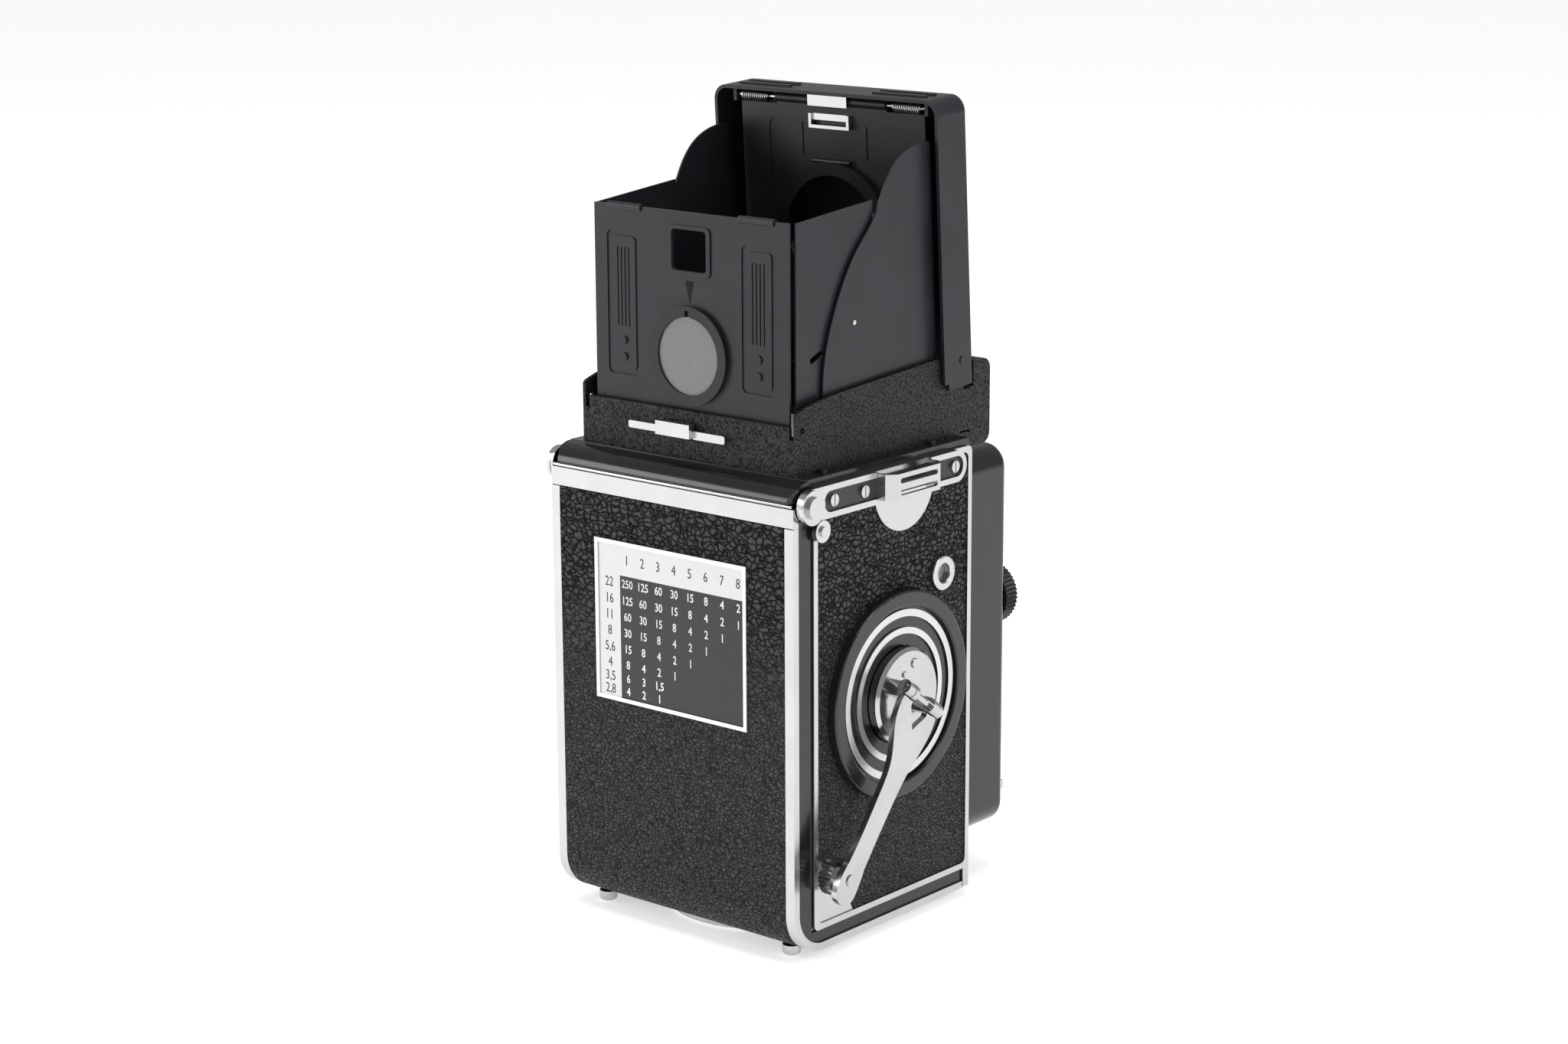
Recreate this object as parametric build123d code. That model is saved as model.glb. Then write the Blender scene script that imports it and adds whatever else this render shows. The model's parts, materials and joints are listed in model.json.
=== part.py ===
from build123d import *
from math import cos, pi, radians, sin, sqrt, tan
import os

# Twin lens reflex camera for 6 x 6 pictures on 120 roll film, waist-level hood open.
# Millimetres. +X is the user's right (crank side), +Y is forward along the optical axes and
# +Z is up. X = 0 is the symmetry plane of the body, Y = 0 its mid-depth, and Z = 0 the
# underside of the hinged back.

os.makedirs("parts", exist_ok=True)

# ---------------------------------------------------------------- driving dimensions
BODY_WIDTH = 78.0
BODY_DEPTH = 70.0
DECK_Z = 115.6
SIDE_SKIN = 0.6            # thickness of leather on the casting
TRIM_PROUD = 0.4           # how far the trim stands above the leather
WALL = 1.6                 # sheet of the hinged back
RUN_GAP = 0.3              # clearance between bodies that move past each other
PIN_GAP = 0.05             # radial clearance of a pin in its bore
SEAT_GAP = 0.02            # clearance of a fixed piece in its seat

TRAY_Y = 7.2               # depth of the back's side flange along the rear
TRAY_Z = 5.0               # height of the back's side flange along the bottom
CORNER_R = 11.0            # lower rear corner of the back
BAND_TOP_Z = 111.4         # top edge of the back's chrome band
BAND_H = 4.8
TRIM_W = 2.7               # chrome strip on the rear face
TRIM_SIDE = 1.9            # the same strip where it folds over the side
LEG_Y = 32.1               # the body's front leg starts here and the back's floor ends before it

TAKING_Z = 50.0
LENS_SPACING = 42.0
FRAME_SIZE = 56.0          # picture side
SPOOL_LENGTH = 65.5
SPOOL_FLANGE_R = 12.6
SPOOL_CORE_R = 6.0
TAKE_UP_Y, TAKE_UP_Z = -17.5, 92.0
SUPPLY_Y, SUPPLY_Z = 20.0, 17.6
MIRROR_SUM = 98.0          # the mirror lies in the plane y + z = MIRROR_SUM

CRANK_Y, CRANK_Z = 4.4, 58.1
DISC_R = 26.1
HUB_R = 12.1
ARM_REACH = 48.0           # hub axis to knob axis
ARM_SLOPE = 126.0          # direction of the folded arm, degrees below the forward direction
ARM_IN_X = 45.6            # inner face of the folded arm
ARM_T = 1.6
COUNTER_Y, COUNTER_Z = 22.4, 85.2
FOCUS_Y, FOCUS_Z = 4.4, 58.1
FOCUS_R = 17.0

RAIL_Y0, RAIL_Y1, RAIL_Z = -30.2, 26.4, 111.6
RAIL_H = 8.0
LUG_Y0, LUG_Y1 = -5.0, 16.0
LUG_FACE_X = 44.8

HOOD_W = 68.6              # over the hood base's side walls
HOOD_Y0, HOOD_Y1 = -28.1, 40.5
HOOD_Z = 117.3
HOOD_SHEET = 0.9
REAR_WALL_Z = 129.0
SIDE_REAR_Z, SIDE_FRONT_Z = 131.9, 137.6
LID_W = 71.2
LID_T = 0.9
LID_DEPTH = 11.0
LID_HINGE_Y, LID_HINGE_Z = 34.5, 136.5
LID_OFFSET = 3.8           # lid's outer face in front of its hinge axis
LID_LENGTH = 65.3          # hinge axis to the lid's outer top edge
LID_TAIL = 6.6             # the lid below its hinge axis
LID_LEAN = 3.4             # degrees that the open lid leans back
PANEL_W = 61.7
PANEL_TOP_Z = 176.8
PANEL_T = 0.6
PANEL_HINGE_Y, PANEL_HINGE_Z = -26.2, 126.0
LEAF_T = 0.5
REAR_LEAF_X, FRONT_LEAF_X = 31.4, 32.4
REAR_LEAF_Z = {1: 120.8, -1: 122.0}
FRONT_LEAF_Z = {1: 128.8, -1: 129.8}
FRONT_LEAF_TOP = 191.4
EYE_Z = 142.2              # round eyepiece lens in the rear panel
EYE_R = 9.5

BOARD_W = 68.0
BOARD_Z0, BOARD_Z1 = 10.5, 111.5
BOARD_Y0, BOARD_Y1 = 38.0, 56.6
FOCUS_TRAVEL = 7.0
VIEW_BARREL_R = 14.0
TAKE_BARREL_R = 14.6
NAME_Y0 = 42.7             # clears the lid's tail when the lid closes

SOCKET_Y = 0.0             # tripod socket axis, on the body's symmetry plane
SOCKET_R = 2.6             # 1/4-20 thread, wall of the bore
SOCKET_LENGTH = 6.0
FOOT_H = 2.6

HALF_W = BODY_WIDTH / 2
REAR_Y = -BODY_DEPTH / 2
FRONT_Y = BODY_DEPTH / 2
CAST_X = HALF_W - SIDE_SKIN - TRIM_PROUD
SKIN_X = CAST_X + SIDE_SKIN
CAST_REAR_Y = REAR_Y + TRAY_Y + RUN_GAP
CAST_Z0 = TRAY_Z + RUN_GAP
CAST_FRONT_Y = FRONT_Y - SIDE_SKIN
SHELL_X = HALF_W - SIDE_SKIN
SPIGOT_X = SHELL_X - WALL - RUN_GAP
SPIGOT_Y = REAR_Y + SIDE_SKIN + WALL + RUN_GAP
SPIGOT_Z = SIDE_SKIN + WALL + RUN_GAP
DOOR_PIVOT_Y, DOOR_PIVOT_Z = REAR_Y + 0.5, BAND_TOP_Z + 0.5
VIEW_Z = TAKING_Z + LENS_SPACING
CHAMBER_X = SPOOL_LENGTH / 2 + 0.7
CHAMBER_R = SPOOL_FLANGE_R + 0.8
GATE_Y = REAR_Y + 10.0
MOULDING_Z0 = DOOR_PIVOT_Z + 0.5
SHELL_TOP = BAND_TOP_Z - 1.2
PARTS = {}


# ---------------------------------------------------------------- helpers
def block(x0, x1, y0, y1, z0, z1):
    """Axis-aligned box between two corners."""
    return Pos((x0 + x1) / 2, (y0 + y1) / 2, (z0 + z1) / 2) * Box(x1 - x0, y1 - y0, z1 - z0)


def rod_x(radius, x0, x1, y, z):
    """Cylinder along X."""
    return Pos((x0 + x1) / 2, y, z) * Rot(0, 90, 0) * Cylinder(radius, x1 - x0)


def rod_y(radius, y0, y1, x, z):
    """Cylinder along Y."""
    return Pos(x, (y0 + y1) / 2, z) * Rot(90, 0, 0) * Cylinder(radius, y1 - y0)


def rod_z(radius, z0, z1, x, y):
    """Cylinder along Z."""
    return Pos(x, y, (z0 + z1) / 2) * Cylinder(radius, z1 - z0)


def prism_x(face, x0, x1):
    """Face drawn in (y, z), between two X planes."""
    return extrude(Plane.YZ.offset(x0) * face, x1 - x0)


def prism_y(face, y0, y1):
    """Face drawn in (x, z), between two Y planes."""
    return extrude(Plane.XZ.offset(-y1) * face, y1 - y0)


def prism_z(face, z0, z1):
    """Face drawn in (x, y), between two Z planes."""
    return extrude(Plane.XY.offset(z0) * face, z1 - z0)


def shape(*points):
    """Closed polygon as a face."""
    return make_face(Polyline(*points, close=True))


def rounded(a0, a1, b0, b1, radius):
    """Rounded rectangle between two corners."""
    return Pos((a0 + a1) / 2, (b0 + b1) / 2) * RectangleRounded(a1 - a0, b1 - b0, radius)


def sided(side, x0, x1):
    """X span on one side of the symmetry plane, low end first."""
    return (x0, x1) if side > 0 else (-x1, -x0)


def solids(*items):
    """Several solids as one node."""
    return Compound(children=[one for item in items for one in item.solids()])


def about_x(part, y, z, degrees):
    """Turn a part about an axis along X through (y, z)."""
    return Pos(0, y, z) * Rot(degrees, 0, 0) * Pos(0, -y, -z) * part


def keep(**nodes):
    """File the finished nodes under their names."""
    PARTS.update(nodes)


def knurled(radius, depth, teeth):
    """Disc outline with rounded-off teeth, for a knurled rim."""
    points = []
    for i in range(2 * teeth):
        r = radius if i % 2 else radius - depth
        points.append((r * cos(pi * i / teeth), r * sin(pi * i / teeth)))
    return shape(*points)


# ---------------------------------------------------------------- camera body
def light_cone():
    """Free space of the taking light path, from the picture gate to the shutter."""
    rear = Plane.XZ.offset(-GATE_Y) * Pos(0, TAKING_Z) * Rectangle(FRAME_SIZE - 0.2, FRAME_SIZE - 0.2)
    front = Plane.XZ.offset(-22) * Pos(0, TAKING_Z) * Rectangle(30, 30)
    half = FRAME_SIZE / 2 - 0.1
    mouth = block(-half, half, GATE_Y - 1, GATE_Y, TAKING_Z - half, TAKING_Z + half)
    return loft([rear, front]) + mouth + rod_y(TAKE_BARREL_R + PIN_GAP, 21.5, FRONT_Y + 1, 0, TAKING_Z)


def body_casting():
    """The die-cast camera body with its film chambers, mirror box and lens openings."""
    cast = block(-CAST_X, CAST_X, CAST_REAR_Y, CAST_FRONT_Y, CAST_Z0, DECK_Z)
    cast += block(-SPIGOT_X, SPIGOT_X, SPIGOT_Y, CAST_REAR_Y + 1, CORNER_R, SHELL_TOP - RUN_GAP)
    cast += block(-SPIGOT_X, SPIGOT_X, SPIGOT_Y + CORNER_R, LEG_Y - RUN_GAP, SPIGOT_Z, CAST_Z0 + 1)
    cast += block(-CAST_X, CAST_X, LEG_Y, CAST_FRONT_Y, 0.3, CAST_Z0 + 1)
    take_up = rod_x(CHAMBER_R, -CHAMBER_X, CHAMBER_X, TAKE_UP_Y, TAKE_UP_Z)
    take_up += block(-CHAMBER_X, CHAMBER_X, SPIGOT_Y - 1, TAKE_UP_Y,
                     TAKE_UP_Z - CHAMBER_R, TAKE_UP_Z + CHAMBER_R)
    supply = rod_x(CHAMBER_R, -CHAMBER_X, CHAMBER_X, SUPPLY_Y, SUPPLY_Z)
    supply += block(-CHAMBER_X, CHAMBER_X, SUPPLY_Y - CHAMBER_R, CAST_FRONT_Y - 3.2,
                    SPIGOT_Z - 1, SUPPLY_Z)
    film_path = block(-CHAMBER_X, CHAMBER_X, SPIGOT_Y - 1, GATE_Y, SPIGOT_Z - 1, 80)
    film_path += block(-CHAMBER_X, CHAMBER_X, SPIGOT_Y - 1, SUPPLY_Y, SPIGOT_Z - 1, 8)
    film_path += block(-CHAMBER_X, CHAMBER_X, SPIGOT_Y - 1, -15, SPIGOT_Z - 1, 20)
    mirror_front = 31.0
    mirror_box = prism_x(shape((MIRROR_SUM - DECK_Z - 1, DECK_Z + 1), (mirror_front, MIRROR_SUM - mirror_front),
                               (mirror_front, DECK_Z + 1)), -28.5, 28.5)
    cast -= take_up + supply
    cast -= film_path
    cast -= mirror_box
    cast -= light_cone()
    cast -= rod_y(VIEW_BARREL_R + PIN_GAP, 30, FRONT_Y + 1, 0, VIEW_Z)
    # side pockets for the winding gears, the counter dial and the knob and focusing shafts
    for y, z, r in GEAR_PLACES:
        cast -= rod_x(r + 0.6, CAST_X - 2.6, CAST_X + 1, y, z)
    cast -= rod_x(DIAL_R + 0.5, CAST_X - 2.6, CAST_X + 1, COUNTER_Y, COUNTER_Z)
    cast -= rod_x(SHAFT_R + PIN_GAP, -CAST_X - 1, CAST_X + 1, TAKE_UP_Y, TAKE_UP_Z)
    cast -= rod_x(SHAFT_R + PIN_GAP, -CAST_X - 1, 0, SUPPLY_Y, SUPPLY_Z)
    cast += rod_x(SHAFT_R, SPOOL_LENGTH / 2 - 3.5, CAST_X - 1, SUPPLY_Y, SUPPLY_Z)
    cast -= rod_x(SHAFT_R + PIN_GAP, CAST_X - 6, CAST_X, CRANK_Y, CRANK_Z)
    cast -= rod_x(SHAFT_R + PIN_GAP, -CAST_X - 1, -CAST_X + 6, FOCUS_Y, FOCUS_Z)
    cast -= rod_x(1.2 + PIN_GAP, CAST_X - 6, CAST_X, *IDLER)
    cast -= rod_x(0.8 + PIN_GAP, CAST_X - 5, CAST_X, COUNTER_Y, COUNTER_Z)
    # seats of the film roller's pins
    cast -= rod_x(0.8 + PIN_GAP, -CHAMBER_X - 1.6, CHAMBER_X + 1.6, *ROLLER)
    # the two polished rails beside the picture opening
    half = FRAME_SIZE / 2
    for side in (1, -1):
        cast += block(*sided(side, 30.4, 31.4), GATE_Y - FILM_RAIL, GATE_Y + 0.1, TAKING_Z - half, TAKING_Z + half)
    return cast


SHAFT_R = 2.4
DIAL_R = 5.6
CRANK_GEAR_R = 14.0
SPOOL_GEAR_R = 9.0
GEAR_GAP = 0.35            # between the tip circles of neighbouring wheels
ROLLER = (-22.5, 15.5)
GEAR_SPAN = sqrt((CRANK_Y - TAKE_UP_Y) ** 2 + (CRANK_Z - TAKE_UP_Z) ** 2)
IDLER_R = (GEAR_SPAN - CRANK_GEAR_R - SPOOL_GEAR_R) / 2 - GEAR_GAP
IDLER_SHARE = (CRANK_GEAR_R + GEAR_GAP + IDLER_R) / GEAR_SPAN
IDLER = (CRANK_Y + (TAKE_UP_Y - CRANK_Y) * IDLER_SHARE, CRANK_Z + (TAKE_UP_Z - CRANK_Z) * IDLER_SHARE)
GEAR_PLACES = ((CRANK_Y, CRANK_Z, CRANK_GEAR_R), (*IDLER, IDLER_R), (TAKE_UP_Y, TAKE_UP_Z, SPOOL_GEAR_R))


def side_outline(inset):
    """Outline of a side face of the casting in (y, z), set in from its edges."""
    return rounded(CAST_REAR_Y + inset, CAST_FRONT_Y - inset, CAST_Z0 + inset, DECK_Z - inset, 1.6)


def corner_plate():
    """Silver web in the lower rear corner of the right side, under the crank's knob."""
    y0, z0 = CAST_REAR_Y + 1.0, CAST_Z0 + 1.0
    return shape((y0, z0), (y0 + 14.5, z0), (y0 + 11.6, z0 + 5.2), (y0 + 6.2, z0 + 14.6), (y0, z0 + 17.0))


LEATHER_INSET = 1.5


def side_cut(side):
    """What stands through the leather of one side, as one cutter."""
    x0, x1 = sided(side, CAST_X - 1, HALF_W + 1)
    if side > 0:
        cut = rod_x(DISC_R + 0.05, x0, x1, CRANK_Y, CRANK_Z)
        cut += rod_x(4.5, x0, x1, COUNTER_Y, COUNTER_Z)
        return cut
    cut = rod_x(FOCUS_R + 0.6, x0, x1, FOCUS_Y, FOCUS_Z)
    for y, z in ((TAKE_UP_Y, TAKE_UP_Z), (SUPPLY_Y, SUPPLY_Z)):
        cut += rod_x(8.6, x0, x1, y, z)
    return cut


def side_skins():
    """Leather and bright edge strip of both sides."""
    leathers, trims = [], []
    for side in (1, -1):
        x0, x1 = sided(side, CAST_X, SKIN_X)
        t0, t1 = sided(side, CAST_X, HALF_W)
        leather = prism_x(side_outline(LEATHER_INSET + SEAT_GAP), x0, x1) - side_cut(side)
        trim = prism_x(side_outline(0) - side_outline(LEATHER_INSET), t0, t1)
        if side > 0:
            leather -= prism_x(offset(corner_plate(), SEAT_GAP), x0, x1)
            trim += prism_x(corner_plate(), x0, x1)
        trim += block(t0, t1, LEG_Y, CAST_FRONT_Y, 0.3, CAST_Z0 + 0.5)
        seat = prism_x(rail_outline(SEAT_GAP), t0, t1) + rod_x(RELEASE_STEM_R + SEAT_GAP, t0, t1, *BACK_RELEASE)
        leathers.append(leather - seat)
        trims.append(trim - seat)
    keep(body_leather=solids(*leathers, front_leather()), side_trim=solids(*trims))


def front_leather():
    """Leather on the front face, around the lens openings."""
    leather = prism_y(rounded(-CAST_X + 1, CAST_X - 1, CAST_Z0 + 1, DECK_Z - 3, 1.5), CAST_FRONT_Y, FRONT_Y)
    return leather - rod_y(20, CAST_FRONT_Y - 1, FRONT_Y + 1, 0, VIEW_Z) - rod_y(
        21.4, CAST_FRONT_Y - 1, FRONT_Y + 1, 0, TAKING_Z)


def top_moulding():
    """Gloss black quarter-round between the back's hinge and the deck, mitred at its ends."""
    y0, y1 = REAR_Y, HOOD_Y0 - RUN_GAP
    z0, z1 = MOULDING_Z0, HOOD_Z - 0.3
    outline = make_face(Line((y0, z0), (y0, z0 + 0.6)) + RadiusArc((y0, z0 + 0.6), (y1 - 1, z1), 7.2)
                        + Line((y1 - 1, z1), (y1, z1)) + Line((y1, z1), (y1, DECK_Z))
                        + Line((y1, DECK_Z), (CAST_REAR_Y, DECK_Z)) + Line((CAST_REAR_Y, DECK_Z), (CAST_REAR_Y, z0))
                        + Line((CAST_REAR_Y, z0), (y0, z0)))
    bar = prism_x(outline, -SHELL_X, SHELL_X)
    for side in (1, -1):
        wedge = shape((side * (SHELL_X + 1), y0 - 1), (side * (SHELL_X - 2.2), y0 - 1), (side * (SHELL_X + 1), y0 + 4.4))
        bar -= prism_z(wedge, z0 - 1, z1 + 1)
    return bar


def deck():
    """Top plate of the body, around the focusing screen."""
    z0, z1 = DECK_Z, HOOD_Z
    plate = block(-CAST_X, CAST_X, HOOD_Y0 - RUN_GAP - 0.5, CAST_FRONT_Y, z0, z1)
    plate -= block(-29.0, 29.0, SCREEN_Y0 - 0.4, SCREEN_Y1 + 0.4, z0 - 1, z1 + 1)
    return plate


SCREEN_Y0, SCREEN_Y1 = MIRROR_SUM - DECK_Z, 31.0


def optics_inside():
    """Reflex mirror and the ground focusing screen with its frame."""
    y0, z0 = MIRROR_SUM - DECK_Z + 1.8, DECK_Z - 1.8
    y1 = 29.6
    t = 1.2 * sqrt(2)
    mirror = prism_x(shape((y0, z0 + 0.02), (y1, MIRROR_SUM - y1 + 0.02), (y1, MIRROR_SUM - y1 + t), (y0, z0 + t)),
                     -28.2, 28.2)
    screen = block(-28.6, 28.6, SCREEN_Y0, SCREEN_Y1, DECK_Z, DECK_Z + 1.4)
    keep(reflex_mirror=mirror, focusing_screen=screen)


def spool(y, z):
    """Film spool of the 120 size, with its end slots and the driver's cross slot."""
    half = SPOOL_LENGTH / 2
    body = rod_x(SPOOL_CORE_R, -half + 0.4, half - 0.4, y, z)
    for side in (1, -1):
        body += rod_x(SPOOL_FLANGE_R, *sided(side, half - 0.8, half), y, z)
        body -= rod_x(SHAFT_R + 0.1, *sided(side, half - 4, half + 1), y, z)
    body -= block(-26, 26, y - 0.7, y + 0.7, z - SPOOL_CORE_R - 1, z - 2.6)
    return body


def film_roller():
    """Steel guide roller with its end pins."""
    roller = rod_x(3.2, -CHAMBER_X + 0.8, CHAMBER_X - 0.8, *ROLLER)
    roller += rod_x(0.8, -CHAMBER_X - 1.2, CHAMBER_X + 1.2, *ROLLER)
    return roller


def gear(y, z, radius, shaft_r, x0, x1, shaft_x0, teeth):
    """Toothed wheel in a side pocket, with its shaft."""
    wheel = prism_x(Pos(y, z) * knurled(radius, 0.9, teeth), x0, x1)
    return wheel + rod_x(shaft_r, shaft_x0, x1, y, z)


def gear_planes():
    """Rear and front X of the winding wheels in their pockets."""
    return CAST_X - 2.0, CAST_X - 0.6


def winding_train():
    """Idler and take-up wheel in the right wall's pockets."""
    x0, x1 = gear_planes()
    keep(
        idler_gear=gear(*IDLER, IDLER_R, 1.2, x0, x1, CAST_X - 5.5, 16),
        take_up_gear=gear(TAKE_UP_Y, TAKE_UP_Z, SPOOL_GEAR_R, SHAFT_R, x0, x1, SPOOL_LENGTH / 2 - 3.5, 18),
    )


# ---------------------------------------------------------------- crank and counter
def arm_axis_point(reach):
    """Point on the folded arm's centre line, in (y, z), at a distance from the hub axis."""
    return (CRANK_Y + reach * cos(radians(-ARM_SLOPE)), CRANK_Z + reach * sin(radians(-ARM_SLOPE)))


def crank():
    """Escutcheon disc, hub with the hinge fork, folding arm and spinning knob."""
    x0 = CAST_X
    face = SKIN_X + 1.0
    disc = rod_x(DISC_R, x0, face, CRANK_Y, CRANK_Z)
    rim = rod_x(DISC_R, face, face + 1.4, CRANK_Y, CRANK_Z) - rod_x(22.2, face - 1, face + 2, CRANK_Y, CRANK_Z)
    disc += rim
    disc = fillet(disc.edges().filter_by(GeomType.CIRCLE).group_by(Axis.X)[-1], 0.6)
    ring_x = face + 0.5
    for outer, inner in ((21.3, 19.5), (16.8, 15.2)):
        disc += rod_x(outer, face, ring_x, CRANK_Y, CRANK_Z) - rod_x(inner, face - 1, ring_x + 1, CRANK_Y, CRANK_Z)
    disc -= rod_x(HUB_R + RUN_GAP, x0 - 1, face + 3, CRANK_Y, CRANK_Z)
    hub_face = 42.6
    hub = rod_x(HUB_R, x0 + RUN_GAP, hub_face, CRANK_Y, CRANK_Z)
    hub = chamfer(hub.edges().group_by(Axis.X)[-1], 0.8)
    hub += gear(CRANK_Y, CRANK_Z, CRANK_GEAR_R, SHAFT_R, *gear_planes(), CAST_X - 5.5, 28)
    hub += rod_x(SHAFT_R, CAST_X - 1, x0 + 1, CRANK_Y, CRANK_Z)
    # hinge ears and pin, across the arm
    across = (sin(radians(ARM_SLOPE)), cos(radians(ARM_SLOPE)))
    pin_plane = Plane(origin=(ARM_PIN_X, CRANK_Y, CRANK_Z), x_dir=(1, 0, 0), z_dir=(0, across[0], across[1]))
    ears = None
    for side in (1, -1):
        centre = side * EAR_OFFSET
        ear_face = pin_plane.offset(centre - EAR_T / 2) * (
            Circle(EAR_R) + Pos(-(ARM_PIN_X - hub_face + 0.6) / 2, 0) * Rectangle(ARM_PIN_X - hub_face + 0.6, 2 * EAR_R))
        ear = extrude(ear_face, EAR_T)
        ears = ear if ears is None else ears + ear
    hub = hub + ears - extrude(pin_plane.offset(-12) * Circle(PIN_R + PIN_GAP), 24)
    pin = extrude(pin_plane.offset(-PIN_HALF) * Circle(PIN_R), 2 * PIN_HALF)
    arm = crank_arm(pin_plane)
    ky, kz = arm_axis_point(ARM_REACH)
    knob_x0 = ARM_IN_X - 4.9
    knob = prism_x(Pos(ky, kz) * knurled(4.6, 0.35, 26), knob_x0, knob_x0 + 3.6)
    knob += rod_x(3.4, knob_x0 + 3.5, ARM_IN_X - 0.3, ky, kz)
    knob -= rod_x(1.1 + PIN_GAP, knob_x0 - 1, ARM_IN_X + 1, ky, kz)
    keep(crank_disc=disc, crank_hub=solids(hub, pin), crank_arm=arm, crank_knob=knob)


ARM_PIN_X = 46.4
PIN_R = 1.0
PIN_HALF = 8.4
EAR_OFFSET = 4.4
EAR_T = 1.6
EAR_R = 2.0


def crank_arm(pin_plane):
    """Forked lever, drawn along its own centre line and turned to the folded direction."""
    x0, x1 = ARM_IN_X, ARM_IN_X + ARM_T
    left = Spline((-7.6, -2.0), (-7.0, -9.0), (-3.0, -17.0), (-2.2, -27.0), (-2.6, -38.0), (-3.2, -44.5))
    tip = Spline((-3.2, -44.5), (-3.8, -48.0), (-2.4, -53.6), (2.4, -53.6), (3.8, -48.0), (3.4, -44.0))
    right = Spline((3.4, -44.0), (3.6, -38.0), (4.2, -27.0), (5.4, -17.0), (7.4, -9.0), (7.6, -2.0))
    outline = make_face(left + tip + right + Line((7.6, -2.0), (-7.6, -2.0)))
    outline -= shape((-3.6, 1.0), (3.6, 1.0), (3.6, -3.2), (0.4, -8.0), (-3.6, -3.2))
    blade = prism_x(Pos(CRANK_Y, CRANK_Z) * Rot(0, 0, 90 - ARM_SLOPE) * outline, x0, x1)
    barrels = None
    for side in (1, -1):
        start = side * (EAR_OFFSET + EAR_T / 2 + 0.15)
        length = PIN_HALF - 0.3 - abs(start)
        plane = pin_plane.offset(start if side > 0 else start - length)
        barrel = extrude(plane * Circle(1.9), length)
        barrels = barrel if barrels is None else barrels + barrel
    arm = blade + barrels - extrude(pin_plane.offset(-PIN_HALF - 1) * Circle(PIN_R + PIN_GAP), 2 * PIN_HALF + 2)
    keep_out = extrude(pin_plane.offset(-(EAR_OFFSET + EAR_T / 2 + 0.15)) * Circle(EAR_R + 0.3),
                       2 * (EAR_OFFSET + EAR_T / 2 + 0.15))
    arm -= keep_out
    ky, kz = arm_axis_point(ARM_REACH)
    arm += rod_x(1.1, ARM_IN_X - 5.2, ARM_IN_X + 0.5, ky, kz)
    arm += rod_x(1.5, x1 - 0.5, x1 + 0.35, ky, kz)
    return arm


def counter():
    """Frame counter: bezel, window and the numbered dial behind it."""
    x0 = SKIN_X
    bezel = rod_x(4.4, CAST_X, x0 + 1.2, COUNTER_Y, COUNTER_Z) - rod_x(2.4, CAST_X - 1, x0 + 2, COUNTER_Y, COUNTER_Z)
    bezel = fillet(bezel.edges().filter_by(GeomType.CIRCLE).group_by(Axis.X)[-1], 0.4)
    window = rod_x(2.4 - SEAT_GAP, CAST_X, CAST_X + 0.6, COUNTER_Y, COUNTER_Z)
    dial = rod_x(DIAL_R, CAST_X - 1.6, CAST_X - 0.8, COUNTER_Y, COUNTER_Z)
    dial += rod_x(0.8, CAST_X - 4.5, CAST_X - 0.8, COUNTER_Y, COUNTER_Z)
    keep(counter_bezel=bezel, counter_dial=dial)
    return window


# ---------------------------------------------------------------- left side knobs
def left_knobs():
    """Focusing knob with its shaft and the two pull-out spool knobs."""
    inner = -SKIN_X - RUN_GAP
    focus = prism_x(Pos(FOCUS_Y, FOCUS_Z) * knurled(FOCUS_R, 0.4, 60), inner - 9.0, inner - 2.0)
    focus += rod_x(FOCUS_R + 0.4, inner - 2.0, inner, FOCUS_Y, FOCUS_Z)
    focus += rod_x(FOCUS_R - 4, inner - 9.8, inner - 8.8, FOCUS_Y, FOCUS_Z)
    focus += rod_x(SHAFT_R, inner - 1, -CAST_X + 5.5, FOCUS_Y, FOCUS_Z)
    keep(focus_knob=focus)
    for word, y, z in (("take_up", TAKE_UP_Y, TAKE_UP_Z), ("supply", SUPPLY_Y, SUPPLY_Z)):
        knob = prism_x(Pos(y, z) * knurled(8.0, 0.35, 36), inner - 4.6, inner)
        knob += rod_x(SHAFT_R, inner - 1, -SPOOL_LENGTH / 2 + 3.2, y, z)
        keep(**{f"{word}_knob": knob})


# ---------------------------------------------------------------- strap fittings
def rail_outline(grow):
    """Part of the strap rail's racetrack that is let into the side, in (y, z)."""
    whole = rounded(RAIL_Y0 - RAIL_H / 2, RAIL_Y1 + RAIL_H / 2 + grow, RAIL_Z - RAIL_H / 2 - grow,
                    RAIL_Z + RAIL_H / 2 + grow, 3.9)
    return whole & shape((CAST_REAR_Y, 0), (FRONT_Y, 0), (FRONT_Y, DECK_Z), (CAST_REAR_Y, DECK_Z))


RAIL_SCREWS = (-21.2, -9.6, 26.0)
RAIL_FACE_X = HALF_W + 1.3
RAIL_FLOOR_X = HALF_W + 0.6
BACK_RELEASE = (-25.9, 104.9)
RELEASE_STEM_R = 1.2


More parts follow.
